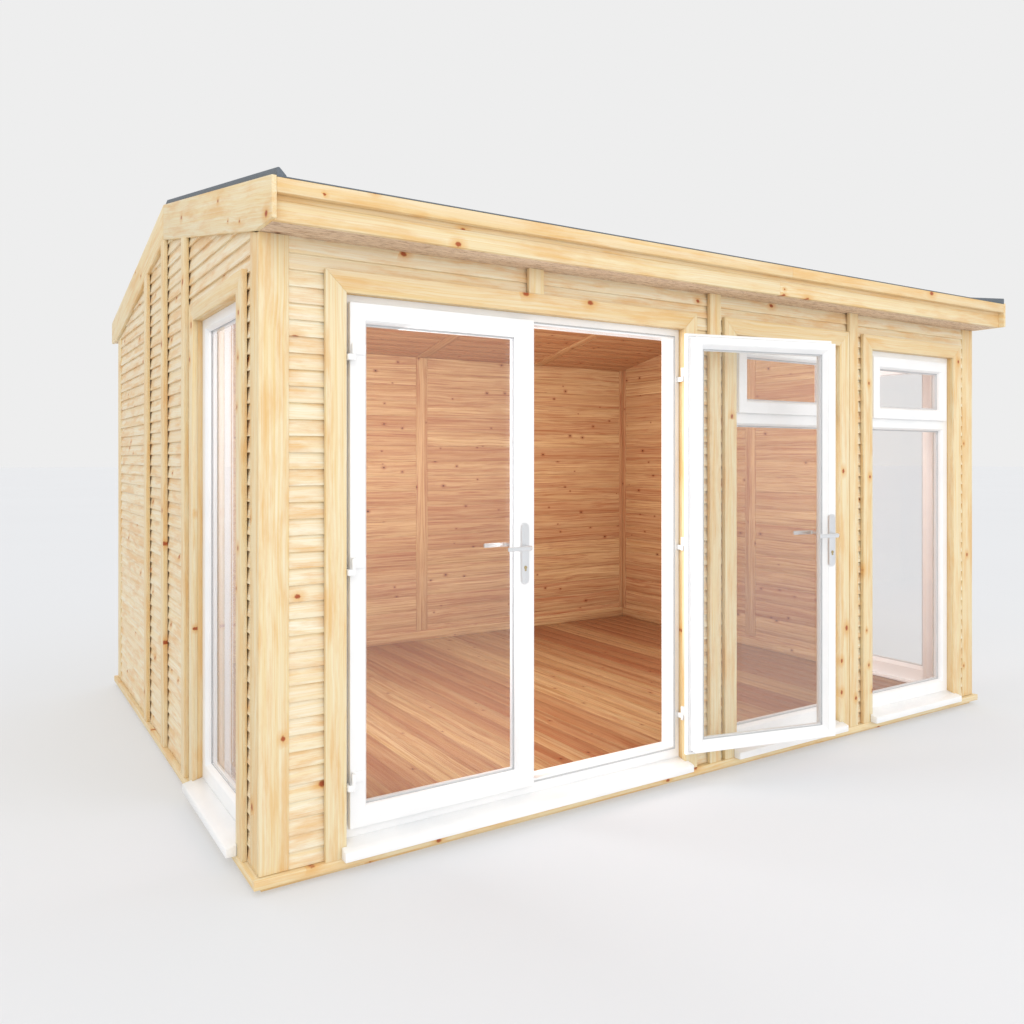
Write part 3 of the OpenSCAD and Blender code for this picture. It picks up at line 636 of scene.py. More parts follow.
def run_along_x(timber, outline, across=(0, 0, 1), reach=roof_end_x, tone=None, joint_x=None):
    """Timber with this outline in Y and Z, from end to end, in two lengths if joint_x is set."""
    ends = [-reach, reach] if joint_x is None else [-reach, joint_x, reach]
    for a, b in zip(ends, ends[1:]):
        timber.solid([(a, y, z) for y, z in outline], [(b, y, z) for y, z in outline],
                     (1, 0, 0), across, tone)


fascias, caps, soffits = Carcass(), Carcass(), Carcass()
back_y, step_y = fascia_y - fascia_t, fascia_y - step
cap_foot = roof_z(eaves_y) - cap_h
for s in (-1, 1):
    run_along_x(fascias, [(s * fascia_y, soffit_z), (s * back_y, soffit_z), (s * back_y, step_z),
                          (s * fascia_y, step_z)], tone=0.0, joint_x=fascia_joint_x)
    # the upper board's deep tone of 0.9 is painted shade: the cap strip's shadow across the top of
    # the fascia
    run_along_x(fascias, [(s * step_y, step_z), (s * back_y, step_z), (s * back_y, roof_z(back_y)),
                          (s * step_y, roof_z(step_y))], tone=0.9, joint_x=fascia_joint_x)
    run_along_x(caps, [(s * eaves_y, cap_foot), (s * fascia_y, cap_foot),
                       (s * fascia_y, roof_z(fascia_y)), (s * eaves_y, roof_z(eaves_y))],
                tone=0.7, joint_x=cap_joint_x)
    run_along_x(soffits, [(s * back_y, soffit_z), (s * core_y, soffit_z), (s * core_y, wall_top),
                          (s * back_y, wall_top)], across=(0, 1, 0), tone=0.3)
fascias.finish("eaves_fascias", pine, "cladding_pine", ease=0.002, replaces=["fascia_boards"])
caps.finish("eaves_cap_strips", pine, "cladding_pine", ease=0.003, replaces=["fascia_cap_strips"])
# the soffit boards' dark fine lines are rough-sawn texture, and the depth of their colour is partly
# painted shade under the eaves
rough_softwood_with_painted_shade = softwood("rough_sawn_softwood_with_painted_shade", "#F0DCC4", "#E2C6A8", "#8E6242", "#6E4630",
                          bands=0.1, lines=0.8, rings=0.0, knots=0.03, gloss=0.75,
                          line_w=0.005, line_run=0.04)
soffits.finish("eaves_soffits", rough_softwood_with_painted_shade, "cladding_pine", replaces=["soffit_boards"])

timber = Carcass()
turn_y = (ceiling_ridge_z - soffit_z) / rise
ridge_joint = 0.0004
for sx, sy in corners:
    outline = [(sy * eaves_y, soffit_z), (sy * turn_y, soffit_z),
               (sy * ridge_joint, ceiling_z(0)), (sy * ridge_joint, roof_z(0) + membrane_t),
               (sy * eaves_y, roof_z(eaves_y) + membrane_t)]
    timber.solid([(sx * barge_x, y, z) for y, z in outline],
                 [(sx * roof_end_x, y, z) for y, z in outline],
                 (0, -sy, rise), (0, rise, sy), 0.15)
timber.finish("gable_bargeboards", pine, "cladding_pine", ease=0.002, replaces=["bargeboards"])

# ---- Roof ----
# Insulated panels, covered by a mineral-faced grey membrane in lapped widths, with a
# grey kerb along each gable that keeps the rain off the bargeboards.

dress(panel_edge, "front_roof_panel", "back_roof_panel")


def mineral_felt(name, light, dark):
    """Mineral-faced membrane: matt grey, with grit of about 1.5 mm and faint wide mottling."""
    material, tree = new_material(name)
    place = add_node(tree, "ShaderNodeTexCoord").outputs["Object"]
    grit = add_node(tree, "ShaderNodeTexNoise", {"Vector": place, "Scale": 650.0, "Detail": 2.0})
    cloud = add_node(tree, "ShaderNodeTexNoise", {"Vector": place, "Scale": 2.5, "Detail": 3.0})
    colour = add_node(tree, "ShaderNodeMixRGB", (
        add_node(tree, "ShaderNodeMapRange", (grit, 0.3, 0.7)), linear(dark), linear(light)))
    colour = add_node(tree, "ShaderNodeMixRGB", (
        add_node(tree, "ShaderNodeMapRange", (cloud, 0.3, 0.7, 0.0, 0.25)), colour, linear(dark)))
    bump = add_node(tree, "ShaderNodeBump", {"Height": grit, "Strength": 0.5, "Distance": 0.001})
    felted = add_node(tree, "ShaderNodeBsdfPrincipled", {
        "Base Color": colour, "Roughness": 0.85, "Normal": bump})
    add_node(tree, "ShaderNodeOutputMaterial", (felted,))
    return material


felt = mineral_felt("mineral_grey_membrane", "#7B838B", "#5A6169")
sheets = Carcass()
lap_step, glue_t, set_in_x = 0.0012, 0.0002, 0.0005
lower_top_y, upper_foot_y, ridge_foot_y = 0.86, 0.92, 0.2
for s in (-1, 1):
    # lower width, upper width over it, then the ridge width over both slopes
    for low_y, high_y, lift in ((eaves_y, lower_top_y, 0.0), (upper_foot_y, 0.0, lap_step),
                                (ridge_foot_y, 0.0, 2 * lap_step)):
        base = glue_t if lift == 0.0 else membrane_t * 0.5
        outline = [(s * low_y, roof_z(low_y) + base), (s * high_y, roof_z(high_y) + base),
                   (s * high_y, roof_z(high_y) + membrane_t + lift),
                   (s * low_y, roof_z(low_y) + membrane_t + lift)]
        run_along_x(sheets, outline, reach=roof_end_x - set_in_x)
sheets.finish("roof_covering", felt, "grey_membrane", ease=0.0006, replaces=["roof_membrane"])

kerbs = Carcass()
kerb_h, kerb_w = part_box("verge_kerbs")[1].z - membrane_top, 0.030
section = [(0.0, 0.0), (0.0, kerb_h - 0.004), (0.0015, kerb_h - 0.001), (0.005, kerb_h),
           (0.009, kerb_h - 0.0012), (kerb_w - 0.002, 0.004), (kerb_w, 0.0)]
for sx, sy in corners:
    foot, head = [[(sx * (roof_end_x - x), y, roof_z(y) + membrane_t + z) for x, z in section]
                  for y in (sy * eaves_y, 0.0)]
    kerbs.solid(foot, head, (0, -sy, rise), (1, 0, 0))
kerbs.finish("gable_kerbs", felt, "grey_membrane", ease=0, replaces=["verge_kerbs"])

# ---- Window and door frames ----
# White PVC-U, extruded and welded at the corners. A section slopes towards the glass with a
# bead, or has a groove around the doorway, so every ring is its section carried around.


def extruded_pvc(name, colour, shade):
    """White PVC-U with a smooth satin skin. Its tone drifts a little along the length."""
    material, tree = new_material(name)
    place = add_node(tree, "ShaderNodeTexCoord").outputs["Object"]
    drift = add_node(tree, "ShaderNodeTexNoise", {"Vector": place, "Scale": 7.0, "Detail": 2.0})
    ripple = add_node(tree, "ShaderNodeTexNoise", {"Vector": place, "Scale": 260.0, "Detail": 1.0})
    tone = add_node(tree, "ShaderNodeMixRGB", (
        add_node(tree, "ShaderNodeMapRange", (drift, 0.35, 0.7)), linear(colour), linear(shade)))
    bump = add_node(tree, "ShaderNodeBump", {
        "Height": ripple, "Strength": 0.06, "Distance": 0.0005})
    skin = add_node(tree, "ShaderNodeBsdfPrincipled", {
        "Base Color": tone, "Roughness": 0.32, "IOR": 1.53, "Normal": bump})
    add_node(tree, "ShaderNodeOutputMaterial", (skin,))
    return material


def plain_finish(name, colour, rough, metallic=0.0):
    """A moulded or drawn finish with a faint texture. It is drawn 1.5 mm wide, which is
    coarser than it is, so that it shows."""
    material, tree = new_material(name)
    place = add_node(tree, "ShaderNodeTexCoord").outputs["Object"]
    fine = add_node(tree, "ShaderNodeTexNoise", {
        "Vector": place, "Scale": 1000.0 / 1.5, "Detail": 2.0})
    tone = add_node(tree, "ShaderNodeMixRGB", (
        add_node(tree, "ShaderNodeMapRange", (fine, 0.3, 0.7, 0.0, 0.15)), linear(colour),
        linear("#202020")))
    surface = add_node(tree, "ShaderNodeBsdfPrincipled", {
        "Base Color": tone, "Roughness": rough, "Metallic": metallic})
    add_node(tree, "ShaderNodeOutputMaterial", (surface,))
    return material


white_pvc = extruded_pvc("white_extruded_pvc", "#F7F7F7", "#F1F2F3")
gasket_rubber = plain_finish("grey_gasket_rubber", "#C4C6C8", 0.7)
spacer_metal = plain_finish("white_warm_edge_spacer", "#EFF0F1", 0.5)


class Shell:
    """Pieces without grain, gathered in one mesh."""

    def __init__(self):
        self.bm = bmesh.new()

    def skin(self, loops, ring=False):
        """Faces from each loop of points to the next. A ring joins up; the rest has ends."""
        rows = [[self.bm.verts.new(point) for point in loop] for loop in loops]
        if not ring:
            self.bm.faces.new(rows[0])
            self.bm.faces.new(rows[-1][::-1])
        for a, b in zip(rows, rows[1:] + (rows[:1] if ring else [])):
            for i in range(len(a)):
                j = (i + 1) % len(a)
                self.bm.faces.new((a[i], a[j], b[j], b[i]))

    def finish(self, name, material, slot, body="building", replaces=()):
        bmesh.ops.recalc_face_normals(self.bm, faces=self.bm.faces)
        settle(name, mesh_from(self.bm, name), material, body, replaces)


class Rings(Shell):
    """Mitred rings, each a section carried around a rectangle on a wall."""

    def add(self, outer, inner, section, y, place):
        """outer and inner are (left, right, bottom, top); a section point is (share of the
        way from outer to inner edge, further distance inwards, depth behind y)."""
        loops = []
        for right, top in ((0, 0), (1, 0), (1, 1), (0, 1)):
            x_a, x_b, z_a, z_b = outer[right], inner[right], outer[2 + top], inner[2 + top]
            loops.append([place((x_a + share * (x_b - x_a) + (-off if right else off), y + depth,
                                 z_a + share * (z_b - z_a) + (-off if top else off)))
                          for share, off, depth in section])
        self.skin(loops, ring=True)


def around(rect, d):
    """A rectangle brought in by d on every side."""
    return (rect[0] + d, rect[1] - d, rect[2] + d, rect[3] - d)


frame_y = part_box("door_frame")[0].y
frame_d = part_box("door_frame")[1].y - frame_y
glass_front, glass_t = 0.024, 0.024
# the sloping bead and the glass rebate behind it, on every section that holds a pane
bead = [(1, -0.011, 0), (1, -0.009, 0.0015), (1, -0.001, 0.013), (1, 0, 0.0165),
        (1, 0, glass_front + glass_t), (1, -0.002, 0.050)]
fixed_frame = [(0, 0, 0)] + bead + [(1, -0.014, 0.064), (1, -0.017, 0.066),
                                    (1, -0.020, frame_d), (0, 0, frame_d)]
gasket = [(1, -0.0005, -0.0022), (1, 0.0020, -0.0008), (1, 0.0020, 0.0), (1, -0.0005, 0.0)]
back_gasket = [(1, -0.0005, 0.0), (1, 0.0020, 0.0), (1, 0.0020, 0.0008), (1, -0.0005, 0.0022)]
spacer = [(1, 0.0005, 0.005), (1, 0.006, 0.005), (1, 0.006, 0.019), (1, 0.0005, 0.019)]

gaskets, spacers = Rings(), Rings()


def glazing_trim(gaskets, spacers, light, glass_y, place):
    """Gaskets on both faces of a sealed unit, and the spacer bar inside its edge."""
    gaskets.add(light, light, gasket, glass_y, place)
    gaskets.add(light, light, back_gasket, glass_y + glass_t, place)
    spacers.add(light, light, spacer, glass_y, place)


front_frames, vents = Rings(), Rings()
jamb_w, head_w, cill_h, transom_low, transom_w = 0.050, 0.045, 0.114, 1.473, 0.070
vent_lap, vent_w, flange_t = 0.015, 0.060, 0.020
# a sash has a flange that laps its frame, with a soft lip in front
lip = [(0, 0, 0.0035), (0, 0.001, 0.001), (0, 0.0035, 0)]
flange_back = [(0, 0.002, flange_t), (0, 0, flange_t - 0.002)]
vent_section = lip + bead + [(1, -0.014, 0.066), (1, -0.018, 0.070),
                             (0, vent_lap + 0.0003, 0.070),
                             (0, vent_lap + 0.0003, flange_t)] + flange_back
plain_bar = [(0, 0, 0), (1, 0, 0), (1, 0, frame_d), (0, 0, frame_d)]
for x in (window_1_x, window_2_x):
    top_z = opening_top - frame_fit
    mid = panel_z + transom_low + transom_w / 2
    low_light = (x[0] + jamb_w, x[1] - jamb_w, panel_z + cill_h, panel_z + transom_low)
    high_light = (x[0] + jamb_w, x[1] - jamb_w, panel_z + transom_low + transom_w,
                  opening_top - head_w)
    front_frames.add((x[0] + frame_fit, x[1] - frame_fit, panel_z, mid), low_light,
                     fixed_frame, frame_y, on_front)
    front_frames.add((x[0] + frame_fit, x[1] - frame_fit, mid, top_z), high_light,
                     plain_bar, frame_y, on_front)
    glazing_trim(gaskets, spacers, low_light, frame_y + glass_front, on_front)
    vent_light = around(high_light, vent_w - vent_lap)
    vents.add(around(high_light, -vent_lap), vent_light, vent_section, frame_y - flange_t, on_front)
    glazing_trim(gaskets, spacers, vent_light, frame_y - flange_t + glass_front, on_front)
front_frames.finish("front_window_frame_rings", white_pvc, "white_pvc",
                    replaces=["front_window_frames"])
vents.finish("front_vent_sashes", white_pvc, "white_pvc", replaces=["front_window_vents"])

side_frames = Rings()
for place in (on_left, on_right):
    light = (jamb_w, side_w - jamb_w, panel_z + cill_h, opening_top - head_w)
    side_frames.add((frame_fit, side_w - frame_fit, panel_z, opening_top - frame_fit), light,
                    fixed_frame, frame_y, place)
    glazing_trim(gaskets, spacers, light, frame_y + glass_front, place)
side_frames.finish("side_window_frame_rings", white_pvc, "white_pvc",
                   replaces=["side_window_frames"])

# white trims line the end windows' reveals, from the frame to the panel's inner face
reveals = Rings()
reveal_t, reveal_d = 0.010, face_x - room_x - (frame_y + frame_d + face_y)
reveal_fit, reveal_foot = 0.0005, 0.013
for place in (on_left, on_right):
    hole = (reveal_fit, side_w - reveal_fit, panel_z + reveal_foot, opening_top - reveal_fit)
    reveals.add(hole, around(hole, reveal_t),
                [(0, 0, 0.0005), (1, 0, 0.0005), (1, 0, reveal_d - 0.002), (1, -0.002, reveal_d),
                 (0, 0, reveal_d)], frame_y + frame_d, place)
reveals.finish("side_window_reveal_trims", white_pvc, "white_pvc")

door_frame = Rings()
door_jamb, door_head, door_cill = 0.036, 0.041, 0.099
door_section = [(0, 0, 0), (1, -0.002, 0), (1, 0, 0.002), (1, 0, 0.030), (1, -0.004, 0.032),
                (1, -0.004, 0.044), (1, 0, 0.046), (1, 0, frame_d - 0.002),
                (1, -0.002, frame_d), (0, 0, frame_d)]
door_hole = (door_x[0] + door_jamb, door_x[1] - door_jamb, panel_z + door_cill,
             opening_top - door_head)
door_frame.add((door_x[0] + frame_fit, door_x[1] - frame_fit, panel_z, opening_top - frame_fit),
               door_hole, door_section, frame_y, on_front)
door_frame.finish("door_frame_ring", white_pvc, "white_pvc", replaces=["door_frame"])
weather_seal = [(1, -0.013, 0.0), (1, -0.012, -0.003), (1, -0.010, -0.0042), (1, -0.008, -0.003),
                (1, -0.007, 0.0)]
gaskets.add(door_hole, door_hole, weather_seal, frame_y, on_front)
gaskets.finish("frame_gaskets", gasket_rubber, "grey_membrane")
spacers.finish("window_spacer_bars", spacer_metal, "satin_steel")


def eased_copy(name, node, material, body, ease):
    """A CAD node's own shape, merged and with its edges rounded."""
    bm = bmesh.new()
    bm.from_mesh(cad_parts[node].data)
    bmesh.ops.remove_doubles(bm, verts=bm.verts, dist=1e-5)
    bmesh.ops.dissolve_limit(bm, angle_limit=0.02, verts=bm.verts, edges=bm.edges)
    ease_edges(bm, ease, 0.6)
    settle(name, mesh_from(bm, name), material, body, [node])


for name, node in (("door_cill", "door_sill"), ("front_window_cills", "front_window_sills"),
                   ("side_window_cills", "side_window_sills")):
    eased_copy(name, node, white_pvc, "building", 0.003)

# ---- Glass ----
# Clear sealed units. Most light goes straight through; the faces mirror the pale
# surroundings, a little at right angles and more at a slant.


def clear_glass(name, tint, straight_on):
    """straight_on is the share of light that each face mirrors at right angles to it."""
    material, tree = new_material(name)
    through = add_node(tree, "ShaderNodeBsdfTransparent", {"Color": linear(tint)})
    mirror = add_node(tree, "ShaderNodeBsdfGlossy", {"Color": linear("#FFFFFF"), "Roughness": 0.0})
    facing = add_node(tree, "ShaderNodeLayerWeight", {"Blend": 0.5}).outputs["Facing"]
    slant = add_node(tree, "ShaderNodeMath", (facing, 5.0), operation="POWER")
    share = add_node(tree, "ShaderNodeMapRange", (slant, 0.0, 1.0, straight_on, 1.0))
    pane = add_node(tree, "ShaderNodeMixShader", (share, through, mirror))
    add_node(tree, "ShaderNodeOutputMaterial", (pane,))
    return material


glass = clear_glass("clear_sealed_glass", "#FDFDFD", 0.045)
dress(glass, "left_door_glass", "right_door_glass", "front_window_glass", "side_window_glass")

# ---- Door leaves ----
# White PVC-U sashes with a flange that laps the frame, hung on three flag hinges each.
# Both are drawn as the right one, closed, with X from the middle of the doorway.

leaf_low, leaf_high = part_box("left_door_leaf")
leaf_y, leaf_t, leaf_lap, leaf_w = leaf_low.y, leaf_high.y - leaf_low.y, 0.0195, 0.738
leaf_edge = door_mid - leaf_low.x
pin_x, pin_y = leaf_edge - 0.0055, leaf_y - 0.021
open_angle = math.radians(167)
# at rest the left leaf is shut and the right one stands open
leaf_places = {
    "left": Carrier(Matrix.Translation((door_mid, 0, 0)) @ Matrix.Scale(-1, 4, (1, 0, 0))),
    "right": Carrier(Matrix.Translation((door_mid + pin_x, pin_y, 0))
                     @ Matrix.Rotation(open_angle, 4, "Z")
                     @ Matrix.Translation((-pin_x, -pin_y, 0)))}

lock_stile, hinge_stile, rail = 0.076, 0.064, 0.068
leaf_rect = (leaf_edge - leaf_w, leaf_edge, leaf_low.z, leaf_high.z)
leaf_light = (leaf_rect[0] + lock_stile, leaf_rect[1] - hinge_stile, leaf_rect[2] + rail,
              leaf_rect[3] - rail)
leaf_section = lip + bead + [(1, -0.014, 0.064), (1, -0.0165, 0.0665), (1, -0.0185, 0.0668),
                             (1, -0.0195, leaf_t), (0, leaf_lap + 0.002, leaf_t),
                             (0, leaf_lap, leaf_t - 0.002), (0, leaf_lap, flange_t)] + flange_back
flange_seal = [(0, 0.0105, flange_t), (0, 0.0125, flange_t), (0, 0.0122, flange_t + 0.0012),
               (0, 0.0108, flange_t + 0.0012)]
astragal_w, leaf_gap = 0.034, 0.005
for side, place in leaf_places.items():
    body = side + "_door"
    leaf, seals, bars = Rings(), Rings(), Rings()
    leaf.add(leaf_rect, leaf_light, leaf_section, leaf_y, place)
    if side == "left":
        # the bar that covers the gap between the leaves, with two eased corners
        cut, strip_x = 0.002, leaf_rect[0] + leaf_lap
        front_y, rear_y = leaf_y + flange_t + leaf_gap, leaf_y + leaf_t
        strip = [(strip_x - astragal_w + cut, front_y), (strip_x, front_y), (strip_x, rear_y),
                 (strip_x - astragal_w + cut, rear_y), (strip_x - astragal_w, rear_y - cut),
                 (strip_x - astragal_w, front_y + cut)]
        leaf.skin([[place((x, y, z)) for x, y in strip]
                   for z in (leaf_rect[2] + leaf_lap, leaf_rect[3] - leaf_lap)])
    leaf.finish(side + "_leaf_sash", white_pvc, "white_pvc", body, [side + "_door_leaf"])
    glazing_trim(seals, bars, leaf_light, leaf_y + glass_front, place)
    seals.add(leaf_rect, leaf_rect, flange_seal, leaf_y, place)
    seals.finish(side + "_leaf_gaskets", gasket_rubber, "grey_membrane", body)
    bars.finish(side + "_leaf_spacer_bar", spacer_metal, "satin_steel", body)
    eased_copy(side + "_leaf_hinges", side + "_door_hinges", white_pvc, body, 0.0012)
eased_copy("frame_hinge_halves", "frame_hinges", white_pvc, "building", 0.0012)

# ---- Handles ----
# Satin stainless levers on long plates with round ends, one on each face of a leaf. A
# key cylinder shows through the plate below the lever, and two screws hold the plate.


def brushed_steel(name, colour, rough):
    """Satin steel, brushed along Z with lines about 0.7 mm apart, as fine as still show."""
    material, tree = new_material(name)
    place = add_node(tree, "ShaderNodeTexCoord").outputs["Object"]
    moved = add_node(tree, "ShaderNodeMapping", {"Vector": place, "Scale": (1500.0, 1500.0, 40.0)})
    lines = add_node(tree, "ShaderNodeTexNoise", {"Vector": moved, "Scale": 1.0, "Detail": 2.0})
    tone = add_node(tree, "ShaderNodeMixRGB", (
        add_node(tree, "ShaderNodeMapRange", (lines, 0.3, 0.7, 0.0, 0.25)), linear(colour),
        linear("#C4C6C9")))
    bump = add_node(tree, "ShaderNodeBump", {"Height": lines, "Strength": 0.1, "Distance": 0.0002})
    metal = add_node(tree, "ShaderNodeBsdfPrincipled", {
        "Base Color": tone, "Roughness": rough, "Metallic": 1.0, "Normal": bump})
    add_node(tree, "ShaderNodeOutputMaterial", (metal,))
    return material


satin_steel = brushed_steel("satin_stainless_steel", "#F2F3F4", 0.36)
brass = plain_finish("nickelled_brass_cylinder", "#C9B68A", 0.3, 1.0)
plate_low, plate_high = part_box("left_door_backplates")
plate_w, plate_t = 0.033, 0.009
plate_h, plate_mid = plate_high.z - plate_low.z, (plate_high.z + plate_low.z) / 2
lever_x, lever_z = leaf_rect[0] + 0.045, plate_mid + 0.024
key_z, screw_zs = plate_mid - 0.052, (plate_mid + 0.1, plate_mid - 0.1)
lever_reach = leaf_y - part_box("left_door_levers")[0].y
lever_length, bend_r, neck_r, grip_t, spindle_r = 0.105, 0.016, 0.009, 0.005, 0.004
plate_gap, rose_r, screw_r = 0.0025, 0.0125, 0.0042


class Fitting(Shell):
    """Small turned, pressed and bent metal pieces on one leaf."""

    def __init__(self, place):
        super().__init__()
        self.place = place

    def disc(self, outline, x, z, y_base, y_top, ease):
        """A plate with this outline (X, Z), from y_base to y_top, rounded at y_top."""
        out = 1 if y_top > y_base else -1
        cx = sum(p[0] for p in outline) / len(outline)
        cz = sum(p[1] for p in outline) / len(outline)
        loops = []
        for y, inset in ((y_base, 0.0), (y_top - out * ease, 0.0),
                         (y_top - out * ease * 0.3, 0.3 * ease), (y_top, ease)):
            loop = []
            for px, pz in outline:
                away = Vector((px - cx, pz - cz))
                short = away * max(0.0, 1 - inset / max(away.length, 1e-6))
                loop.append(self.place((x + cx + short.x, y, z + cz + short.y)))
            loops.append(loop)
        self.skin(loops)

    def bar(self, path, sizes, sides=20):
        """A bent bar along a path in a level plane. Its section is a soft-cornered oval."""
        loops = []
        points = [Vector(p) for p in path]
        for k, p in enumerate(points):
            before, after = points[max(k - 1, 0)], points[min(k + 1, len(points) - 1)]
            side = (after - before).normalized().cross(Vector((0, 0, 1))).normalized()
            w, h = sizes[k]
            loop = []
            for i in range(sides):
                angle = 2 * math.pi * i / sides
                c, s = [math.copysign(abs(v) ** 0.7, v) for v in (math.cos(angle), math.sin(angle))]
                loop.append(self.place(p + side * c * w + Vector((0, 0, s * h))))
            loops.append(loop)
        self.skin(loops)


def circle(r, n=24):
    return [(r * math.cos(2 * math.pi * i / n), r * math.sin(2 * math.pi * i / n))
            for i in range(n)]


def stadium(w, h, n=14):
    """A plate's outline with round ends."""
    r, up = w / 2, h / 2 - w / 2
    top = [(r * math.cos(math.pi * i / n), up + r * math.sin(math.pi * i / n)) for i in range(n + 1)]
    return top + [(-x, -z) for x, z in top]


def key_outline(r=0.0065, w=0.0035, drop=0.014, head_steps=22, tail_steps=10):
    """The outline of a key cylinder: a round head on a narrower round-ended tail."""
    start = math.asin(w / r)
    turns = [(-math.pi + start) + (2 * math.pi - 2 * start) * i / head_steps
             for i in range(head_steps + 1)]
    ends = [-math.pi * i / tail_steps for i in range(tail_steps + 1)]
    return ([(r * math.sin(a), r * math.cos(a)) for a in turns]
            + [(w * math.cos(a), -drop + w + w * math.sin(a)) for a in ends])


bend_steps = 6
for side, place in leaf_places.items():
    plates, keys, levers = Fitting(place), Fitting(place), Fitting(place)
    for face, out in ((leaf_y, -1), (leaf_y + leaf_t, 1)):
        top = face + out * plate_t
        plates.disc(stadium(plate_w, plate_h), lever_x, plate_mid, face, top, 0.0035)
        plates.disc(circle(rose_r), lever_x, lever_z, top - out * 0.002, top + out * 0.0022, 0.001)
        for z in screw_zs:
            plates.disc(circle(screw_r, 16), lever_x, z, top - out * 0.001, top + out * 0.0008,
                        0.0006)
        keys.disc(key_outline(), lever_x, key_z, top - out * 0.002, top + out * 0.0015, 0.0006)
        # the neck stands out from the plate, bends, and runs level as the grip
        end_y = face + out * (lever_reach - grip_t)
        path = [(lever_x, top + out * plate_gap, lever_z),
                (lever_x, end_y - out * bend_r, lever_z)]
        sizes = [(neck_r, neck_r), (0.008, neck_r)]
        for i in range(1, bend_steps + 1):
            a = math.pi / 2 * i / bend_steps
            path.append((lever_x + bend_r * (1 - math.cos(a)),
                         end_y - out * bend_r * (1 - math.sin(a)), lever_z))
            sizes.append((0.008 - 0.003 * i / bend_steps, neck_r))
        for back, shrink in ((0.004, 1.0), (0.0015, 0.82), (0.0003, 0.45)):
            path.append((lever_x + lever_length - back, end_y, lever_z))
            sizes.append((grip_t * shrink, neck_r * shrink))
        levers.bar(path, sizes)
    levers.bar([(lever_x, leaf_y - plate_t - plate_gap, lever_z),
                (lever_x, leaf_y + leaf_t + plate_t + plate_gap, lever_z)],
               [(spindle_r, spindle_r)] * 2)
    plates.finish(side + "_handle_plates", satin_steel, "satin_steel", side + "_door",
                  [side + "_door_backplates"])
    keys.finish(side + "_key_cylinders", brass, "satin_steel", side + "_door")
    levers.finish(side + "_lever_handles", satin_steel, "satin_steel", side + "_levers",
                  [side + "_door_levers"])

# ---- Lining ----
# Horizontal tongued and grooved boards, stained red-brown, over all four walls. Soft
# V joints show between them, and small dark knots.

stained_lining = softwood("stained_pine_lining", "#DCBF92", "#C6A070", "#984A2C", "#38180E",
                          bands=0.4, lines=0.75, rings=0.1, knots=0.3, tone_share=0.4,
                          band=(1.1, 0.025), line_w=0.005, knot_r=(0.002, 0.006))
lining_t = 0.006
floor_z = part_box("floorboards")[1].z
lining_count = 19
lining_h = (wall_top - floor_z) / lining_count
tongued = {"Height": lining_h, "Lower Edge": lining_t, "Upper Edge": lining_t,
           "Easing": 0.0022, "Tone Spread": 0.8}
lining = []
ways = {"back": ((1, 0, 0), (0, -1, 0)), "front": ((-1, 0, 0), (0, 1, 0)),
        "left": ((0, 1, 0), (1, 0, 0)), "right": ((0, -1, 0), (-1, 0, 0))}


def line_wall(wall, holes, low, high, z, share=1.0):
    """One course on one wall, between the openings."""
    along, outward = ways[wall]
    for a, b in cut_runs(low, high, holes):
        start = {"back": (a, room_y, z), "front": (b, -room_y, z),
                 "left": (-room_x, a, z), "right": (room_x, b, z)}[wall]
        lining.append((start, along, outward, b - a, share, 0.0))


# boards on the back wall meet in the middle, under a strip
middle_joint = [(-0.001, 0.0)]
for i in range(lining_count):
    z = floor_z + i * lining_h
    line_wall("back", middle_joint, -room_x, room_x, z)
    for wall, holes in (("front", [door_x, window_1_x, window_2_x]), ("left", [side_window_y]),
                        ("right", [side_window_y])):
        reach = room_x if wall == "front" else room_y
        if z > opening_top:
            line_wall(wall, [], -reach, reach, z)
        else:
            line_wall(wall, holes, -reach, reach, z)
            if z + lining_h > opening_top:
                for a, b in holes:
                    line_wall(wall, [], a, b, opening_top, (z + lining_h - opening_top) / lining_h)
z = wall_top
while z < ceiling_ridge_z - ridge_gap:
    reach = (ceiling_ridge_z - z) / rise
    for wall in ("left", "right"):
        line_wall(wall, [], -reach, reach, z)
    z += lining_h
boarding("wall_lining", lining, dict(tongued, Seed=21), stained_lining)

# ---- Ceiling ----
# The same boards run along the building under each slope, from the wall to the ridge.

slope_len = room_y * math.hypot(1, rise)
ceiling_count = 14
ceiling_h = slope_len / ceiling_count
up = Vector((0, 1, rise)).normalized()
ceiling = []
for i in range(ceiling_count):
    foot = up * (i * ceiling_h)
    # the ceiling boards take 0.7 of stain_and_shade: painted shade, darker than the same boards on
    # the walls
    ceiling.append(((room_x, -room_y + foot.y, wall_top + foot.z), (-1, 0, 0),
                    (0, rise, -1), 2 * room_x, 1.0, 0.7))
    ceiling.append(((-room_x, room_y - foot.y, wall_top + foot.z), (1, 0, 0),
                    (0, -rise, -1), 2 * room_x, 1.0, 0.7))
boarding("ceiling_boards", ceiling, dict(tongued, Height=ceiling_h, Seed=22), stained_lining)

# ---- Floorboards ----
# Tongued and grooved boards that run from front to back. Red heartwood in some boards, and
# along the bands of others, gives the floor its stripes.

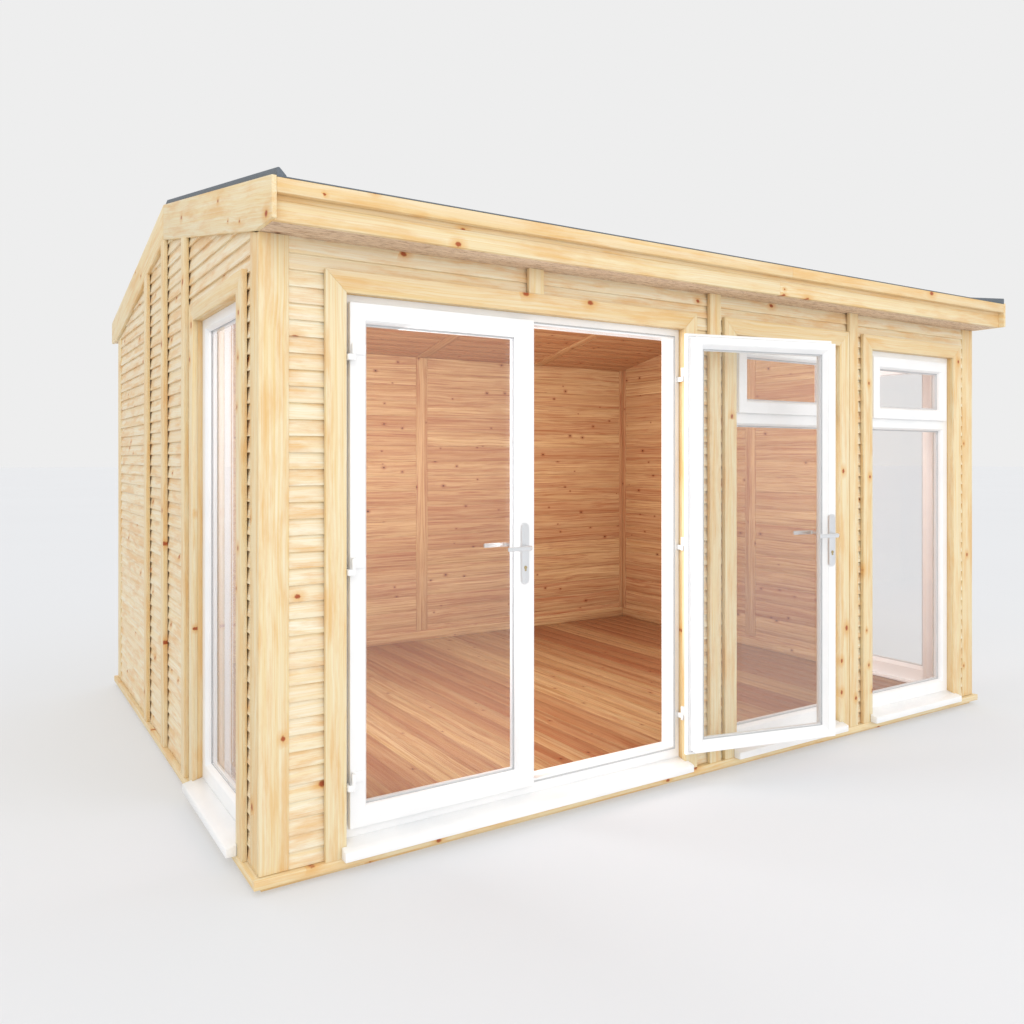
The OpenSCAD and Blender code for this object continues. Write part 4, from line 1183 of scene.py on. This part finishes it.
stained_floor = softwood("stained_pine_floorboards", "#C9AE86", "#B28E5D", "#87462C", "#38180E",
                         bands=0.55, lines=0.75, rings=0.1, knots=0.25, tone_share=0.9, gloss=0.42,
                         band=(1.6, 0.03), line_w=0.0045, knot_r=(0.002, 0.006))
board_count = 37
board_w = 2 * room_x / board_count
floor = []
shades = random.Random(5)
dark = 0.3
for i in range(board_count):
    dark = min(max(dark + shades.uniform(-0.4, 0.45), 0.0), 0.6)
    floor.append(((room_x - i * board_w, -room_y, panel_z), (0, 1, 0), (0, 0, 1),
                  2 * room_y, 1.0, dark))
boarding("floor_boards", floor,
         {"Height": board_w, "Lower Edge": floor_z - panel_z, "Upper Edge": floor_z - panel_z,
          "Easing": 0.0012, "Tone Spread": 0.15, "Seed": 31}, stained_floor,
         replaces=["floorboards"])

# ---- Inside trim ----
# Skirting around the floor, flat strips over the joints of the lining and the ceiling,
# and slim strips in the corners, all in the same stained pine.

(_, _, z0), (_, _, z1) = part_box("skirting_boards")
trim_t = 0.012
timber = Carcass()
timber.box((-room_x, room_y - trim_t, z0), (room_x, room_y, z1), "x")
for s in (-1, 1):
    xs = sorted((s * room_x, s * (room_x - trim_t)))
    timber.box((xs[0], side_window_y[1], z0), (xs[1], room_y - trim_t - 0.001, z1), "y")
for a, b in ((-room_x, door_x[0]), (door_x[1], window_1_x[0]), (window_1_x[1], window_2_x[0]),
             (window_2_x[1], room_x)):
    timber.box((a, -room_y, z0), (b, -room_y + trim_t, z1), "x")
timber.finish("skirting", stained_lining, "lining_pine", ease=0.003, replaces=["skirting_boards"])

strip_w = 0.090
timber = Carcass()
timber.box((-strip_w / 2, room_y - trim_t, z1), (strip_w / 2, room_y, wall_top), "z", 0.3)
for s in (-1, 1):
    top = ceiling_z(strip_w / 2)
    xs = sorted((s * room_x, s * (room_x - trim_t)))
    timber.box((xs[0], -strip_w / 2, z1), (xs[1], strip_w / 2, top), "z", 0.3)
timber.finish("wall_joint_strips", stained_lining, "lining_pine", ease=0.0015,
              replaces=["wall_cover_strips"])

timber = Carcass()
foot_y = room_y - trim_t
for s in (-1, 1):
    for x in (0.0, 1.0):
        outline = [(s * foot_y, ceiling_z(foot_y)), (s * strip_w / 2, ceiling_z(strip_w / 2)),
                   (s * strip_w / 2, ceiling_z(strip_w / 2) - trim_t),
                   (s * foot_y, ceiling_z(foot_y) - trim_t)]
        timber.solid([(x - strip_w / 2, y, z) for y, z in outline],
                     [(x + strip_w / 2, y, z) for y, z in outline], (0, s, -rise), (1, 0, 0), 0.4)
timber.finish("ceiling_joint_strips", stained_lining, "lining_pine", ease=0.0015,
              replaces=["ceiling_cover_strips"])

cover_w, cover_t = 0.055, 0.005
covers = Carcass()
for s in (-1, 1):
    xs = sorted((s * (room_x - lining_t), s * (room_x - lining_t - cover_t)))
    for y, foot in ((side_window_y[0] - cover_w, floor_z), (side_window_y[1], z1)):
        covers.box((xs[0], y, foot), (xs[1], y + cover_w, opening_top), "z")
    covers.box((xs[0], side_window_y[0] - cover_w, opening_top),
               (xs[1], side_window_y[1] + cover_w, opening_top + cover_w), "y")
covers.finish("side_window_cover_trims", white_pvc, "white_pvc")

strip_side, strip_t = 0.036, 0.010
timber = Carcass()
for sx, sy in corners:
    x_a, y_a = sx * (room_x - lining_t), sy * (room_y - lining_t)
    for wide, deep, start in ((strip_side, strip_t, 0.0), (strip_t, strip_side, strip_t)):
        xs = sorted((x_a, x_a - sx * wide))
        ys = sorted((y_a - sy * start, y_a - sy * (start + deep)))
        timber.box((xs[0], ys[0], z1), (xs[1], ys[1], wall_top), "z", 0.9)
timber.finish("corner_strips", stained_lining, "lining_pine", ease=0.002)

# ---- Studio ----
# A seamless pale floor that glows a little, before a pale backdrop. Soft light comes from all
# around, from two boxes in front and from four in the room. A wide camera stands at the left
# front corner, a little below head height.

material, tree = new_material("studio_floor_paint")
place = add_node(tree, "ShaderNodeTexCoord").outputs["Object"]
patches = add_node(tree, "ShaderNodeTexNoise", {"Vector": place, "Scale": 0.2})
tone = add_node(tree, "ShaderNodeMixRGB", (
    add_node(tree, "ShaderNodeMapRange", (patches, 0.3, 0.7)), linear("#B2B5BA"),
    linear("#B0B3B8")))
paint = add_node(tree, "ShaderNodeBsdfPrincipled", {
    "Base Color": tone, "Roughness": 0.9, "Emission Color": linear("#FFFFFF"),
    "Emission Strength": 0.33})
add_node(tree, "ShaderNodeOutputMaterial", (paint,))
bpy.ops.mesh.primitive_plane_add(size=300, location=(0, 0, 0))
ground = bpy.context.object
ground.name = "studio_floor"
ground.data.materials.append(material)

world = bpy.data.worlds.new("studio_light")
bpy.context.scene.world = world
world.use_nodes = True
tree = world.node_tree
tree.nodes.clear()
lit = add_node(tree, "ShaderNodeBackground", ((1.0, 0.985, 0.965, 1.0), 1.06))
seen = add_node(tree, "ShaderNodeBackground", (linear("#EEEEEE"), 1.0))
path = add_node(tree, "ShaderNodeLightPath").outputs
direct = add_node(tree, "ShaderNodeMath", (path["Is Camera Ray"], path["Is Glossy Ray"]),
                  operation="MAXIMUM")
either = add_node(tree, "ShaderNodeMixShader", (direct, lit, seen))
add_node(tree, "ShaderNodeOutputWorld", (either,))


def soft_box(name, at, aim, size, power):
    lamp = bpy.data.lights.new(name, "AREA")
    lamp.shape, lamp.size, lamp.size_y, lamp.energy = "RECTANGLE", size[0], size[1], power
    holder = bpy.data.objects.new(name, lamp)
    bpy.context.scene.collection.objects.link(holder)
    holder.location = at
    holder.rotation_euler = (Vector(aim) - Vector(at)).to_track_quat("-Z", "Y").to_euler()
    holder.visible_camera = holder.visible_glossy = False


soft_box("key_soft_box", (-5.5, -7.5, 6.5), (-0.5, -1.0, 1.0), (5.0, 5.0), 119)
soft_box("front_soft_box", (0.5, -8.0, 2.5), (0.3, -1.5, 1.4), (6.0, 3.0), 80)
soft_box("room_top_box", (0.0, 0.0, 2.2), (0.0, 0.0, 0.0), (3.2, 1.4), 8)
soft_box("room_front_box", (0.0, -1.25, 1.8), (0.0, 1.4, 0.9), (3.4, 0.5), 24)
soft_box("room_left_box", (-1.7, -0.7, 1.4), (1.8, 0.2, 1.4), (1.6, 1.2), 46)
soft_box("room_low_box", (0.0, 0.0, 0.7), (0.0, 0.0, 2.0), (2.4, 1.4), 10)

eye = bpy.data.cameras.new("studio_camera")
eye.lens, eye.sensor_width, eye.shift_y = 30.378, 36.0, -0.05196
viewer = bpy.data.objects.new("studio_camera", eye)
bpy.context.scene.collection.objects.link(viewer)
viewer.location = (-2.7755, -4.2295, 1.3727)
viewer.rotation_euler = (math.radians(90), 0.0, math.radians(-32.2055))
bpy.context.scene.camera = viewer
bpy.context.scene.view_settings.view_transform = "Standard"
